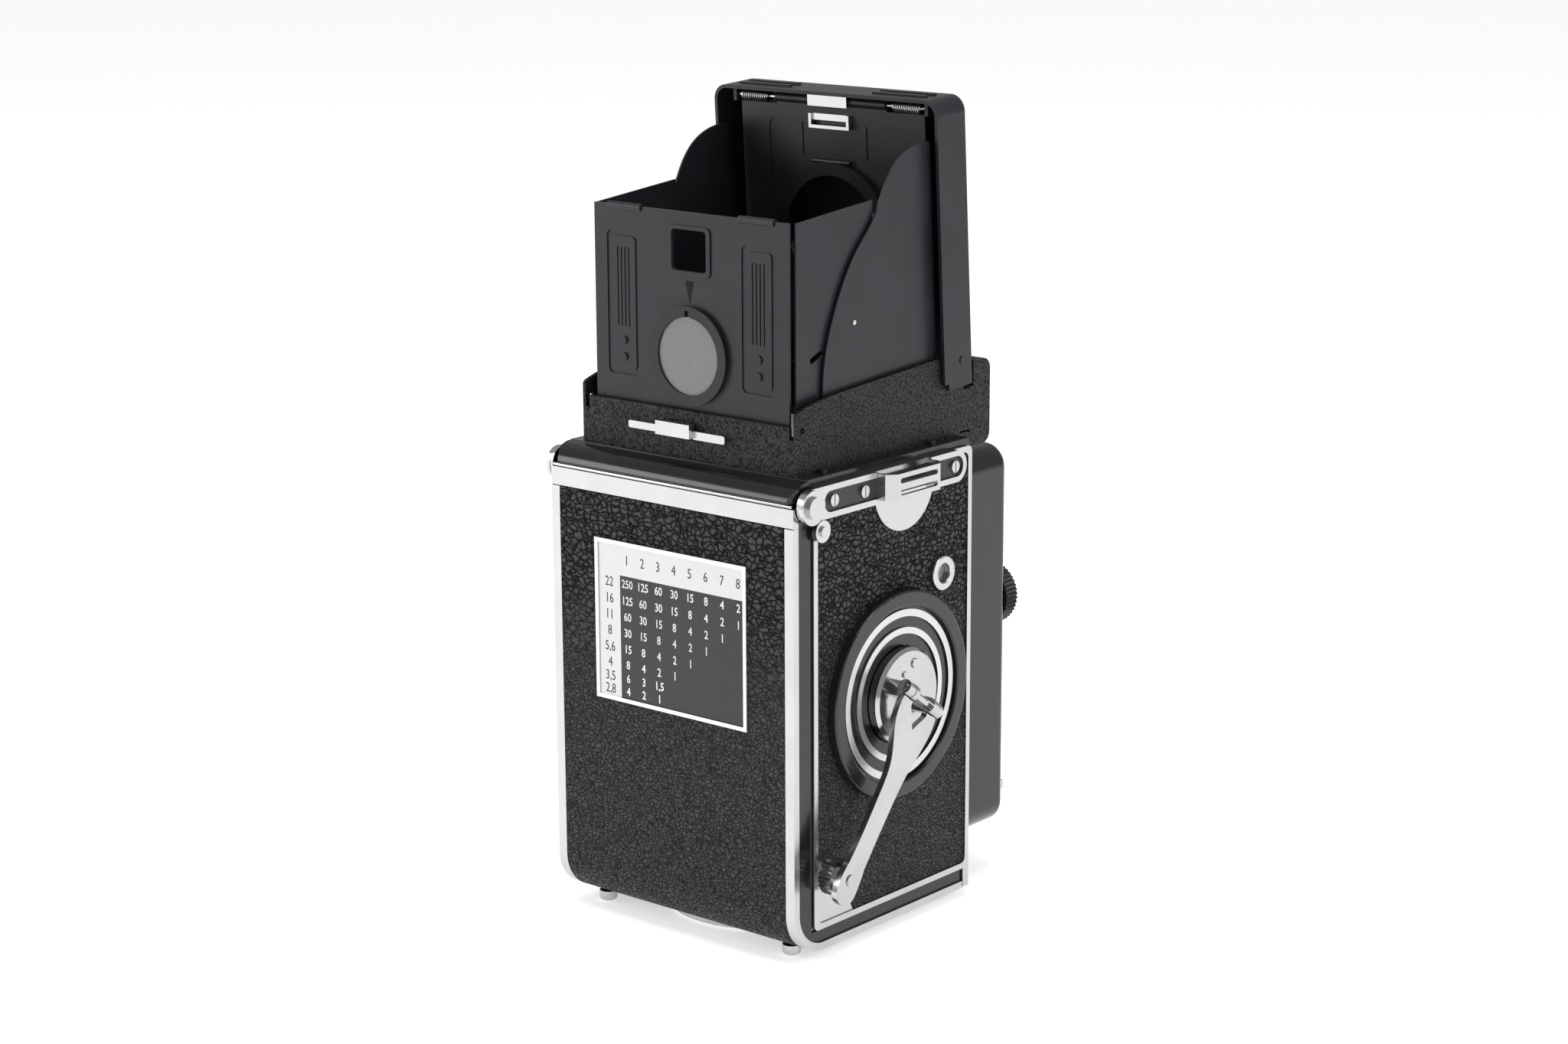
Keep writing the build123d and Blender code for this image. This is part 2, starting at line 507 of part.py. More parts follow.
def strap_fittings():
    """Rail with its caps, slotted bridge and wear plate of each side; returns the rails' screws."""
    screws, rails, bridges = [], [], []
    for side in (1, -1):
        rail = prism_x(rail_outline(0), *sided(side, CAST_X, RAIL_FACE_X))
        whole = rounded(RAIL_Y0 - RAIL_H / 2, RAIL_Y1 + RAIL_H / 2, RAIL_Z - RAIL_H / 2, RAIL_Z + RAIL_H / 2, 3.9)
        rail += prism_x(whole, *sided(side, HALF_W + RUN_GAP, RAIL_FACE_X))
        field = rounded(RAIL_Y0 + 5.2, RAIL_Y1 + 2.6, RAIL_Z - 2.6, RAIL_Z + 2.6, 2.4)
        rail -= prism_x(field, *sided(side, RAIL_FLOOR_X, HALF_W + 4))
        rail -= block(*sided(side, RAIL_FLOOR_X, HALF_W + 4), LUG_Y0 - 0.1, LUG_Y1 + 0.1, RAIL_Z - 6, RAIL_Z + 6)
        rail += rod_x(4.2, *sided(side, RAIL_FACE_X - 0.1, RAIL_FACE_X + 1.0), RAIL_Y0, RAIL_Z - 0.2)
        rail += rod_x(2.7, *sided(side, RAIL_FACE_X + 0.9, RAIL_FACE_X + 2.0), RAIL_Y0, RAIL_Z - 0.2)
        button = rod_x(RELEASE_STEM_R, *sided(side, CAST_X, HALF_W + 1), *BACK_RELEASE)
        button += rod_x(2.7, *sided(side, HALF_W + RUN_GAP, HALF_W + 1.6), *BACK_RELEASE)
        button += rod_x(1.3, *sided(side, HALF_W + 1.5, HALF_W + 2.2), *BACK_RELEASE)
        for y in RAIL_SCREWS:
            head = rod_x(1.5, *sided(side, RAIL_FLOOR_X, RAIL_FACE_X), y, RAIL_Z)
            head -= block(*sided(side, RAIL_FACE_X - 0.35, HALF_W + 3), y - 0.2, y + 0.2, RAIL_Z - 2, RAIL_Z + 2)
            screws.append(head)
        plate = rod_x(11.7, *sided(side, SKIN_X, SKIN_X + 0.35), (LUG_Y0 + LUG_Y1) / 2 + 1.6, RAIL_Z - 1.0)
        plate -= block(*sided(side, SKIN_X - 1, SKIN_X + 1), LUG_Y0 - 12, LUG_Y1 + 16,
                       RAIL_Z - RAIL_H / 2 - SEAT_GAP, RAIL_Z + 14)
        rails += [rail, button, plate]
        bridges.append(strap_bridge(side))
    keep(strap_rails=solids(*rails), strap_bridges=solids(*bridges))
    return screws


def strap_bridge(side):
    """Raised loop that the strap's catch slides into, with two long slots in its face."""
    low = RAIL_FLOOR_X
    z0, z1 = RAIL_Z - 2.9, RAIL_Z + 3.6
    profile = shape((low, LUG_Y0), (low, LUG_Y1), (LUG_FACE_X - 2.2, LUG_Y1), (LUG_FACE_X, LUG_Y1 - 2.2),
                    (LUG_FACE_X, LUG_Y0 + 2.2), (LUG_FACE_X - 2.2, LUG_Y0))
    inner = shape((low - 1, LUG_Y0 + 1.0), (low - 1, LUG_Y1 - 1.0), (LUG_FACE_X - 2.5, LUG_Y1 - 1.0),
                  (LUG_FACE_X - 0.9, LUG_Y1 - 2.8), (LUG_FACE_X - 0.9, LUG_Y0 + 2.8), (LUG_FACE_X - 2.5, LUG_Y0 + 1.0))
    bridge = prism_z(profile - inner, z0, z1)
    for z in (RAIL_Z - 1.1, RAIL_Z + 1.8):
        bridge -= prism_x(rounded(LUG_Y0 + 3.2, LUG_Y1 - 3.2, z - 0.65, z + 0.65, 0.6), LUG_FACE_X - 1.5, LUG_FACE_X + 1)
    return bridge if side > 0 else mirror(bridge, Plane.YZ)


# ---------------------------------------------------------------- hinged back
def back_region(inset):
    """Space forward of and above the back's surface at a given depth under it, in (y, z)."""
    box = Pos(30 + (REAR_Y + inset) / 2, 80 + inset / 2) * Rectangle(60 - REAR_Y - inset, 160 - inset)
    corner = box.vertices().sort_by(lambda v: v.X + v.Y)[0]
    return fillet(corner, CORNER_R - inset)


def back_band(inset0, inset1, top, front):
    """Band that follows the rear and the floor of the back between two depths."""
    limit = shape((REAR_Y - 1, -1), (front, -1), (front, top), (REAR_Y - 1, top))
    return (back_region(inset0) - back_region(inset1)) & limit


def hinged_back():
    """L-shaped back: shell, chrome edge, leather, band, feet, and what rides on it."""
    floor_front = LEG_Y - RUN_GAP
    core = prism_x(back_band(SIDE_SKIN, SIDE_SKIN + WALL, SHELL_TOP, floor_front), -SHELL_X, SHELL_X)
    low_cut = shape((REAR_Y - 1, -1), (floor_front, -1), (floor_front, SHELL_TOP), (REAR_Y - 1, SHELL_TOP))
    free = shape((REAR_Y + TRAY_Y, TRAY_Z), (60, TRAY_Z), (60, 160), (REAR_Y + TRAY_Y, 160))
    flange = (back_region(SIDE_SKIN) - free) & low_cut
    for side in (1, -1):
        core += prism_x(flange, *sided(side, SHELL_X - WALL, SHELL_X))
    for z in GUIDE_Z:
        core += rod_y(GUIDE_R, REAR_Y + SIDE_SKIN + 1, PLATE_Y1 - 0.2, 0, z)
    core -= rod_z(LOCK_R + RUN_GAP, -1, SIDE_SKIN + 0.6, 0, SOCKET_Y)
    core -= rod_z(SOCKET_BOSS_R + SEAT_GAP, -1, SIDE_SKIN + WALL + 1, 0, SOCKET_Y)
    trim = None
    for side in (1, -1):
        strip = prism_x(back_band(0, SIDE_SKIN, BAND_TOP_Z - BAND_H, floor_front),
                        *sided(side, HALF_W - TRIM_W, HALF_W))
        strip += prism_x(back_band(0, TRIM_SIDE, BAND_TOP_Z - BAND_H, floor_front),
                         *sided(side, SHELL_X, HALF_W))
        trim = strip if trim is None else trim + strip
    leather_x = HALF_W - TRIM_W - SEAT_GAP
    leather = prism_x(back_band(0, SIDE_SKIN, BAND_TOP_Z - BAND_H, floor_front), -leather_x, leather_x)
    leather -= rod_z(LOCK_R + RUN_GAP, -1, SIDE_SKIN + 0.5, 0, SOCKET_Y)
    leather -= block(TABLE_X0 - 0.02, TABLE_X1 + 0.02, REAR_Y - 1, REAR_Y + SIDE_SKIN, TABLE_Z0 - 0.02, TABLE_Z1 + 0.02)
    band = block(-HALF_W, HALF_W, REAR_Y, REAR_Y + SIDE_SKIN, BAND_TOP_Z - BAND_H + SEAT_GAP, BAND_TOP_Z)
    band += block(-HALF_W, HALF_W, REAR_Y, REAR_Y + SIDE_SKIN + WALL, SHELL_TOP + SEAT_GAP, BAND_TOP_Z)
    band += block(SHELL_X, HALF_W, REAR_Y, REAR_Y + TRIM_SIDE, BAND_TOP_Z - BAND_H + SEAT_GAP, BAND_TOP_Z)
    band += block(-HALF_W, -SHELL_X, REAR_Y, REAR_Y + TRIM_SIDE, BAND_TOP_Z - BAND_H + SEAT_GAP, BAND_TOP_Z)
    band -= rod_x(0.45 + PIN_GAP, -HALF_W - 1, HALF_W + 1, DOOR_PIVOT_Y, DOOR_PIVOT_Z)
    band = fillet(band.edges().filter_by(Axis.X).group_by(Axis.Y)[0].sort_by(Axis.Z)[0], 0.45)
    trim = trim + band
    pin = rod_x(0.45, -HALF_W + 0.6, HALF_W - 0.6, DOOR_PIVOT_Y, DOOR_PIVOT_Z)
    table = block(TABLE_X0, TABLE_X1, REAR_Y - 0.35, REAR_Y + SIDE_SKIN, TABLE_Z0, TABLE_Z1)
    table -= block(TABLE_X0 + 1.1, TABLE_X1 - 1.1, REAR_Y - 1, REAR_Y - 0.1, TABLE_Z0 + 1.1, TABLE_Z1 - 1.1)
    feet = []
    for x in (-30.5, 30.5):
        for y in (REAR_Y + CORNER_R - 2, 25.5):
            foot = rod_z(2.3, -FOOT_H, 0, x, y)
            feet.append(fillet(foot.edges().group_by(Axis.Z)[0], 0.8))
    keep(back_shell=core, back_trim=trim, back_leather=leather, back_hinge_pin=pin,
         exposure_table=table, feet=solids(*feet))
    lock = rod_z(LOCK_R, -1.9, SIDE_SKIN + 0.5, 0, SOCKET_Y) - rod_z(SOCKET_BOSS_R + PIN_GAP, -3, 3, 0, SOCKET_Y)
    for i in range(2):
        lock -= Rot(0, 0, 180 * i) * block(LOCK_R - 3.0, LOCK_R + 1, SOCKET_Y - 4, SOCKET_Y + 4, -3, -0.9)
    boss = rod_z(SOCKET_BOSS_R, -1.9, SOCKET_TOP_Z, 0, SOCKET_Y)
    boss += rod_z(SOCKET_BOSS_R + 3, SIDE_SKIN + WALL, SIDE_SKIN + WALL + 0.2, 0, SOCKET_Y)
    boss -= rod_z(SOCKET_R, -3, -1.9 + SOCKET_LENGTH, 0, SOCKET_Y)
    keep(lock_ring=lock, tripod_socket=boss)


LOCK_R = 25.0
SOCKET_BOSS_R = 5.6
SOCKET_TOP_Z = 5.0
TABLE_X0, TABLE_X1 = -24.5, 24.5
TABLE_Z0, TABLE_Z1 = 54.8, 95.6
FILM_RAIL = 0.5
PLATE_Y1 = GATE_Y - FILM_RAIL - RUN_GAP


GUIDE_R = 1.2
GUIDE_Z = (TAKING_Z - 16, TAKING_Z + 16)
PLATE_TRAVEL = 1.0


def pressure_plate():
    """Plate that holds the film flat, on two guide posts, and the springs around them."""
    plate = block(-29.8, 29.8, PLATE_Y1 - 1.2, PLATE_Y1, TAKING_Z - 27.5, TAKING_Z + 27)
    springs = []
    for z in GUIDE_Z:
        plate -= rod_y(GUIDE_R + PIN_GAP, PLATE_Y1 - 2, PLATE_Y1 + 1, 0, z)
        coil = rod_y(2.2, REAR_Y + SIDE_SKIN + WALL, PLATE_Y1 - 1.2 - PLATE_TRAVEL - 0.05, 0, z)
        springs.append(coil - rod_y(GUIDE_R + PIN_GAP, REAR_Y, PLATE_Y1, 0, z))
    keep(pressure_plate=plate, pressure_springs=solids(*springs))


# ---------------------------------------------------------------- hood
def hood_base():
    """Crinkle-painted tray of the hood: four low walls on a floor frame."""
    half = HOOD_W / 2
    t = HOOD_SHEET
    side_wall = shape((HOOD_Y0, HOOD_Z), (HOOD_Y1, HOOD_Z), (HOOD_Y1, TAIL_FREE_Z), (36.9, TAIL_FREE_Z), (36.9, SIDE_FRONT_Z),
                      (25.1, SIDE_FRONT_Z), (-13.0, 135.1), (-18.6, 134.5), (-23.6, 133.7), (-27.2, 132.6),
                      (HOOD_Y0, SIDE_REAR_Z))
    base = None
    for side in (1, -1):
        wall = prism_x(side_wall, *sided(side, half - t, half))
        base = wall if base is None else base + wall
    base += block(-half + 2.2, half - 2.2, HOOD_Y0, HOOD_Y0 + t, HOOD_Z, REAR_WALL_Z)
    base += block(-half, half, HOOD_Y0, HOOD_Y0 + t, HOOD_Z, REAR_WALL_Z - 3)
    base += block(-half, half, HOOD_Y1 - t, HOOD_Y1, HOOD_Z, TAIL_FREE_Z)
    base += block(-half, half, HOOD_Y0, HOOD_Y1, HOOD_Z, HOOD_Z + 0.8)
    base -= block(-28.0, 28.0, SCREEN_Y0 + 0.6, SCREEN_Y1 - 0.6, HOOD_Z - 1, HOOD_Z + 2)
    base -= block(-half - 1, half + 1, CAST_FRONT_Y + 1, HOOD_Y1 - t, HOOD_Z - 1, HOOD_Z + 0.8)
    for side in (1, -1):
        base -= rod_x(0.8, *sided(side, half - 2, half + 1), HOOD_Y0 + 2.2, 128.2)
        base -= rod_x(HINGE_R + PIN_GAP, *sided(side, half - 2, half + 1), LID_HINGE_Y, LID_HINGE_Z - 0.0)
    for side in (1, -1):
        for leaf_z in (REAR_LEAF_Z[side], FRONT_LEAF_Z[side]):
            base += leaf_bearing(side, leaf_z)
    return base


TAIL_FREE_Z = LID_HINGE_Z - LID_TAIL - 1.4
HINGE_R = 1.0
LEAF_PIN_R = 0.45


def leaf_bearing(side, z):
    """Small ear on the side wall that holds a leaf's hinge rod."""
    x = REAR_LEAF_X if z < PANEL_HINGE_Z else FRONT_LEAF_X
    y0 = BEARING_Y[z < PANEL_HINGE_Z]
    ear = block(*sided(side, x - 0.9, HOOD_W / 2 - HOOD_SHEET), y0, y0 + 1.2, z - 0.9, z + 0.9)
    ear -= rod_y(LEAF_PIN_R + PIN_GAP, y0 - 1, y0 + 3, side * x, z)
    return ear


BEARING_Y = {True: -27.1, False: 33.2}


def rear_leaf(side):
    """Rear side leaf: straight sheet beside the rear panel, with its slanted slot."""
    z0 = REAR_LEAF_Z[side]
    y0 = PANEL_HINGE_Y + 1.25
    outline = shape((y0, z0), (3.6, z0), (3.6, 179.2), (y0, PANEL_TOP_Z - 0.2))
    slot = Pos(-17.4, 144.2) * Rot(0, 0, 21.5) * SlotOverall(5.2, 1.6)
    x = side * REAR_LEAF_X
    leaf = prism_x(outline - slot, x - LEAF_T / 2, x + LEAF_T / 2)
    return leaf + rod_y(LEAF_PIN_R, BEARING_Y[True] + 0.1, 3.6, x, z0)


def front_leaf(side):
    """Front side leaf with its S-shaped rear edge, and the rivet near its middle."""
    z0 = FRONT_LEAF_Z[side]
    edge = Spline((-16.2, 134.0), (-14.9, 146.0), (-10.6, 157.0), (-3.5, 168.1), (3.2, 175.4), (6.6, 181.6),
                  (11.6, 187.6), (18.0, 190.7), (24.6, FRONT_LEAF_TOP))
    front = 28.2
    outline = make_face(edge + Line((24.6, FRONT_LEAF_TOP), (front, z0)) + Line((front, z0), (-16.2, z0))
                        + Line((-16.2, z0), (-16.2, 134.0)))
    x = side * FRONT_LEAF_X
    leaf = prism_x(outline, x - LEAF_T / 2, x + LEAF_T / 2)
    leaf += rod_y(LEAF_PIN_R, -16.2, BEARING_Y[False] + 1.1, x, z0)
    return solids(leaf, leaf_rivet(side))


def leaf_rivet(side):
    """Bright rivet head on the outer face of a front leaf."""
    x = side * (FRONT_LEAF_X + LEAF_T / 2)
    low, high = sorted((x, x + side * 0.2))
    return rod_x(0.6, low, high, -4.6, 150.9)


def rear_panel():
    """Rear panel of the hood with its sighting window, eyepiece bore, ribs and top hinge rolls."""
    half = PANEL_W / 2
    y1 = PANEL_HINGE_Y + PANEL_T / 2
    y0 = y1 - PANEL_T
    panel = block(-half, half, y0, y1, PANEL_HINGE_Z + 0.9, PANEL_TOP_Z)
    for side in (1, -1):
        recess = rounded(*sided(side, 16.3, 26.8), 135.2, 170.6, 1.6)
        field = rounded(*sided(side, 17.6, 25.5), 136.4, 169.2, 1.2)
        panel -= prism_y(recess - field, y0 - 1, y0 + 0.3)
        for i in range(4):
            x = side * 21.5 - 1.8 + 1.2 * i
            panel -= prism_y(rounded(x - 0.2, x + 0.2, 147.1, 166.6, 0.15), y0 - 1, y0 + 0.25)
        for z in (139.6, 143.7):
            panel += rod_y(1.0, y0 - 0.45, y0 + 0.1, side * 21.5, z)
        panel += rod_x(0.9, *sided(side, 15.5, 26.4), y0 + 0.3, PANEL_TOP_Z - 0.3)
    window = prism_y(rounded(-6.7, 6.7, 161.4, 173.5, 1.5), y0 - 0.4, y1)
    panel += window
    panel -= prism_y(rounded(-5.5, 5.5, 162.6, 172.6, 1.0), y0 - 1, y1 + 1)
    panel -= prism_y(shape((-1.4, 160.3), (1.4, 160.3), (0, 154.6)), y0 - 1, y0 + 0.3)
    panel -= rod_y(BEZEL_R - 1.4, y0 - 2, y1 + 1, 0, EYE_Z)
    panel += rod_x(0.9, -half + 0.2, half - 0.2, PANEL_HINGE_Y, PANEL_HINGE_Z) + block(
        -half + 0.2, half - 0.2, y0, y1, PANEL_HINGE_Z, PANEL_HINGE_Z + 1)
    panel -= rod_x(0.5 + PIN_GAP, -half - 1, half + 1, PANEL_HINGE_Y, PANEL_HINGE_Z)
    return panel


BEZEL_R = 12.1


def rear_eyepiece():
    """Bezel and lens of the rear panel's round eyepiece."""
    y0 = PANEL_HINGE_Y - PANEL_T / 2
    bezel = rod_y(BEZEL_R, y0 - 1.2, y0, 0, EYE_Z) + rod_y(BEZEL_R - 1.45, y0 - 0.1, y0 + PANEL_T, 0, EYE_Z)
    bezel -= rod_y(EYE_R, y0 - 3, y0 + 3, 0, EYE_Z)
    bezel -= block(-0.7, 0.7, y0 - 2, y0 - 0.6, EYE_Z + EYE_R - 0.2, EYE_Z + BEZEL_R - 1.0)
    glass = rod_y(EYE_R - SEAT_GAP, y0 - 0.7, y0 + PANEL_T - 0.1, 0, EYE_Z)
    keep(eyepiece_bezel=bezel, eyepiece_lens=glass)


def hood_hardware():
    """Hinge rods of the rear panel and the lid, and the small screws at the base."""
    half = HOOD_W / 2
    panel_rod = rod_x(0.5, -half + HOOD_SHEET + 0.05, half - HOOD_SHEET - 0.05, PANEL_HINGE_Y, PANEL_HINGE_Z)
    lid_pins = []
    screws = []
    for side in (1, -1):
        lid_pins.append(rod_x(HINGE_R, *sided(side, half - 1.6, LID_W / 2 + 0.25), LID_HINGE_Y, LID_HINGE_Z))
        for y in (-19.8, 22.4):
            screws.append(rod_z(0.9, HOOD_Z, HOOD_Z + 0.8, side * (half + 1.3), y))
    return [panel_rod, *lid_pins, *screws]


def hood_catch():
    """Sliding catch on the rear wall: two tabs joined by a raised bridge."""
    y1 = HOOD_Y0 - SEAT_GAP
    tabs = [block(-17.9, -7.9, y1 - 1.3, y1, 123.0, 124.8), block(2.9, 13.1, y1 - 1.3, y1, 122.6, 124.6)]
    catch = block(-7.95, 2.95, y1 - 2.6, y1 - 0.6, 122.8, 126.2)
    for tab in tabs:
        catch += fillet(tab.edges().filter_by(Axis.Y), 0.6)
    return catch


def lid_local(x0, x1, depth0, depth1, up0, up1):
    """Box in the lid's own frame: depth behind its outer face, height above its hinge."""
    outer = LID_HINGE_Y + LID_OFFSET
    return block(x0, x1, outer - depth1, outer - depth0, LID_HINGE_Z + up0, LID_HINGE_Z + up1)


def lean(part):
    """Bring something from the lid's upright frame to the lid's open angle."""
    return about_x(part, LID_HINGE_Y, LID_HINGE_Z, LID_LEAN)


def lid():
    """Pressed lid: outer face, rims on three sides, and the two pairs of raised bars."""
    half = LID_W / 2
    shell = lid_local(-half, half, 0, LID_DEPTH, -LID_TAIL, LID_LENGTH)
    corner = shell.edges().filter_by(Axis.Y).group_by(Axis.Z)[-1]
    shell = fillet(corner, 4.0)
    hollow = lid_local(-half + LID_T, half - LID_T, LID_T, LID_DEPTH + 1, -LID_TAIL - 1, LID_LENGTH - LID_T)
    hollow = fillet(hollow.edges().filter_by(Axis.Y).group_by(Axis.Z)[-1], 4.0 - LID_T)
    shell = shell - hollow
    ear_cut = lid_local(-half - 1, half + 1, LID_DEPTH - 1.6, LID_DEPTH + 1, -LID_TAIL - 1, -LID_TAIL + 1.6)
    shell -= ear_cut
    for side in (1, -1):
        for depth in (3.2, 6.6):
            x0, x1 = sided(side, 13.2, 29.6)
            shell += lid_local(x0, x1, depth, depth + 1.3, LID_LENGTH - 0.2, LID_LENGTH + 0.45)
        shell -= rod_x(HINGE_R + PIN_GAP, *sided(side, half - 2, half + 1), LID_HINGE_Y, LID_HINGE_Z)
        shell += lid_local(*sided(side, ROD_HALF - 1.0, ROD_HALF), LID_T - 0.1, FLAP_DEPTH + 1.6, FLAP_UP, FLAP_UP + 3.2)
    shell -= rod_x(0.6 + SEAT_GAP, -ROD_HALF - 1, ROD_HALF + 1, LID_HINGE_Y + LID_OFFSET - ROD_DEPTH,
                   LID_HINGE_Z + ROD_UP)
    return lean(shell)


FLAP_DEPTH = 7.2
FLAP_UP = 61.0
FLAP_HALF = 29.2
ROD_HALF = 31.0
ROD_DEPTH, ROD_UP = FLAP_DEPTH + 0.3, FLAP_UP + 1.6


def lid_fittings():
    """Sports-finder flap on its rod and springs, catch plate, clip and magnifier."""
    outer = LID_HINGE_Y + LID_OFFSET
    rod = rod_x(0.6, -ROD_HALF, ROD_HALF, outer - ROD_DEPTH, LID_HINGE_Z + ROD_UP)
    springs = []
    for side in (1, -1):
        x0, x1 = sided(side, 20.0, 28.4)
        coil = rod_x(1.25, x0, x1, outer - ROD_DEPTH, LID_HINGE_Z + ROD_UP)
        coil -= rod_x(0.62, x0 - 1, x1 + 1, outer - ROD_DEPTH, LID_HINGE_Z + ROD_UP)
        springs.append(lean(coil))
    flap = lid_local(-FLAP_HALF, FLAP_HALF, FLAP_DEPTH, FLAP_DEPTH + 0.6, FLAP_LOW, FLAP_UP)
    knuckle = rod_x(1.2, -17.5, 17.5, outer - ROD_DEPTH, LID_HINGE_Z + ROD_UP)
    knuckle += lid_local(-17.5, 17.5, FLAP_DEPTH, FLAP_DEPTH + 0.6, FLAP_UP - 0.5, ROD_UP)
    knuckle -= rod_x(0.6 + PIN_GAP, -18, 18, outer - ROD_DEPTH, LID_HINGE_Z + ROD_UP)
    flap += knuckle
    recess = lid_local(-20.4, 20.4, FLAP_DEPTH + 0.35, FLAP_DEPTH + 1, MAG_UP + 2, FLAP_UP - 3.4)
    recess = fillet(recess.edges().filter_by(Axis.Y).group_by(Axis.Z)[-1], 2.4)
    flap -= recess
    for side in (1, -1):
        flap += lid_local(*sided(side, 9.6, 10.8), FLAP_DEPTH, FLAP_DEPTH + 0.6, MAG_UP + 19, FLAP_UP - 4.2)
    flap -= rod_y(MAG_RING_R - 1.6, outer - 12, outer, 0, LID_HINGE_Z + MAG_UP)
    ring = rod_y(MAG_RING_R, outer - FLAP_DEPTH - 2.0, outer - FLAP_DEPTH - 0.65, 0, LID_HINGE_Z + MAG_UP)
    ring -= rod_y(MAG_GLASS_R, outer - 14, outer, 0, LID_HINGE_Z + MAG_UP)
    ring += rod_x(0.5, -6.0, 6.0, outer - FLAP_DEPTH - 1.3, LID_HINGE_Z + MAG_UP + MAG_RING_R)
    glass = rod_y(MAG_GLASS_R - SEAT_GAP, outer - FLAP_DEPTH - 1.8, outer - FLAP_DEPTH - 0.8, 0, LID_HINGE_Z + MAG_UP)
    plate = lid_local(-6.2, 6.2, FLAP_DEPTH + 1.75, FLAP_DEPTH + 2.25, FLAP_UP + 0.4, LID_LENGTH - LID_T)
    clip = lid_local(-6.4, 6.4, FLAP_DEPTH + 0.62, FLAP_DEPTH + 1.3, FLAP_UP - 3.2, FLAP_UP - 1.6)
    clip += lid_local(-6.4, -5.6, FLAP_DEPTH + 0.62, FLAP_DEPTH + 1.9, FLAP_UP - 5.2, FLAP_UP - 1.6)
    clip += lid_local(5.6, 6.4, FLAP_DEPTH + 0.62, FLAP_DEPTH + 1.9, FLAP_UP - 5.2, FLAP_UP - 1.6)
    clip += lid_local(-6.4, 6.4, FLAP_DEPTH + 0.62, FLAP_DEPTH + 1.9, FLAP_UP - 5.2, FLAP_UP - 4.4)
    keep(flap_hinge=solids(lean(rod), *springs, lean(plate)), finder_flap=lean(flap), flap_clip=lean(clip),
         magnifier_ring=lean(ring), magnifier_lens=lean(glass))


FLAP_LOW = 6.0
MAG_UP = 29.5
MAG_RING_R = 18.0
MAG_GLASS_R = 14.6


# ---------------------------------------------------------------- front standard
def front_fittings():
    """Name-plate block, front leather, lens standard, lenses, wheels and release."""
    block_half = 33.0
    name = block(-block_half, block_half, NAME_Y0, 49.7, HOOD_Z, 135.0)
    name += block(-block_half, block_half, HOOD_Y1 + RUN_GAP, 49.7, HOOD_Z - 0.2, TAIL_FREE_Z)
    name += block(-block_half, block_half, FRONT_Y, 49.7, BOARD_Z1 + 1.6, HOOD_Z - 0.1)
    name = fillet(name.edges().filter_by(Axis.X).group_by(Axis.Y)[-1], 3.0)
    name -= block(-24, 24, 48.9, 52, 119.5, 130.5)
    window = block(-24 + SEAT_GAP, 24 - SEAT_GAP, 48.9, 49.6, 119.5 + SEAT_GAP, 130.5 - SEAT_GAP)
    half = BOARD_W / 2
    board = prism_y(rounded(-half, half, BOARD_Z0, BOARD_Z1, 6.0), BOARD_Y0, BOARD_Y1)
    board = fillet(board.edges().group_by(Axis.Y)[-1], 2.4)
    board -= prism_y(rounded(-half + 1.6, half - 1.6, BOARD_Z0 + 1.6, BOARD_Z1 - 1.6, 4.6), BOARD_Y0 - 1, BOARD_Y1 - 2.4)
    board -= rod_y(VIEW_BARREL_R + SEAT_GAP, BOARD_Y0, BOARD_Y1 + 1, 0, VIEW_Z)
    board -= rod_y(TAKE_BARREL_R + SEAT_GAP, BOARD_Y0, BOARD_Y1 + 1, 0, TAKING_Z)
    for x in (-WHEEL_X, WHEEL_X):
        board -= rod_y(1.6 + PIN_GAP, BOARD_Y0, BOARD_Y1 + 1, x, WHEEL_Z)
    board -= rod_y(2.6 + PIN_GAP, BOARD_Y0, BOARD_Y1 + 1, *RELEASE)
    board -= rod_y(2.4 + SEAT_GAP, BOARD_Y0, BOARD_Y1 + 1, *SYNC)
    board -= rod_y(1.4 + PIN_GAP, BOARD_Y0, BOARD_Y1 + 1, *TIMER)
    keep(name_block=name, lens_board=board)
    return window


WHEEL_X, WHEEL_Z, WHEEL_R = 25.8, 70.5, 8.2
RELEASE = (24.0, 20.0)
SYNC = (-24.0, 20.0)
TIMER = (-24.5, 33.0)


def lens_units():
    """Viewing lens, shutter with taking lens, and the light tubes behind them."""
    view_front, take_front = 61.5, 63.0
    view = rod_y(VIEW_BARREL_R, TUBE_Y0, view_front, 0, VIEW_Z)
    view += rod_y(17.0, BOARD_Y1 + SEAT_GAP, view_front - 0.6, 0, VIEW_Z)
    view -= rod_y(VIEW_GLASS_R, TUBE_Y0 - 1, view_front + 1, 0, VIEW_Z)
    view_glass = rod_y(VIEW_GLASS_R - SEAT_GAP, 55.5, 60.0, 0, VIEW_Z)
    dome = Pos(0, 60.0 - 18.0, VIEW_Z) * Sphere(22.0)
    view_glass = (view_glass + rod_y(VIEW_GLASS_R - SEAT_GAP, 59.9, 63, 0, VIEW_Z)) & dome
    shutter = rod_y(TAKE_BARREL_R, TUBE_Y0, take_front, 0, TAKING_Z)
    shutter += rod_y(24.5, BOARD_Y1 + SEAT_GAP, 60.4, 0, TAKING_Z) + rod_y(17.0, 60.0, take_front - 0.6, 0, TAKING_Z)
    shutter -= rod_y(TAKE_GLASS_R, TUBE_Y0 - 1, take_front + 1, 0, TAKING_Z)
    front_glass = rod_y(TAKE_GLASS_R - SEAT_GAP, 57.0, 61.4, 0, TAKING_Z)
    front_glass = (front_glass + rod_y(TAKE_GLASS_R - SEAT_GAP, 61.2, 64, 0, TAKING_Z)) & (
        Pos(0, 61.2 - 21.0, TAKING_Z) * Sphere(23.5))
    rear_glass = rod_y(TAKE_GLASS_R - SEAT_GAP, 41.0, 44.5, 0, TAKING_Z)
    keep(viewing_lens=view, shutter_housing=shutter, lens_glass=solids(view_glass, front_glass, rear_glass))


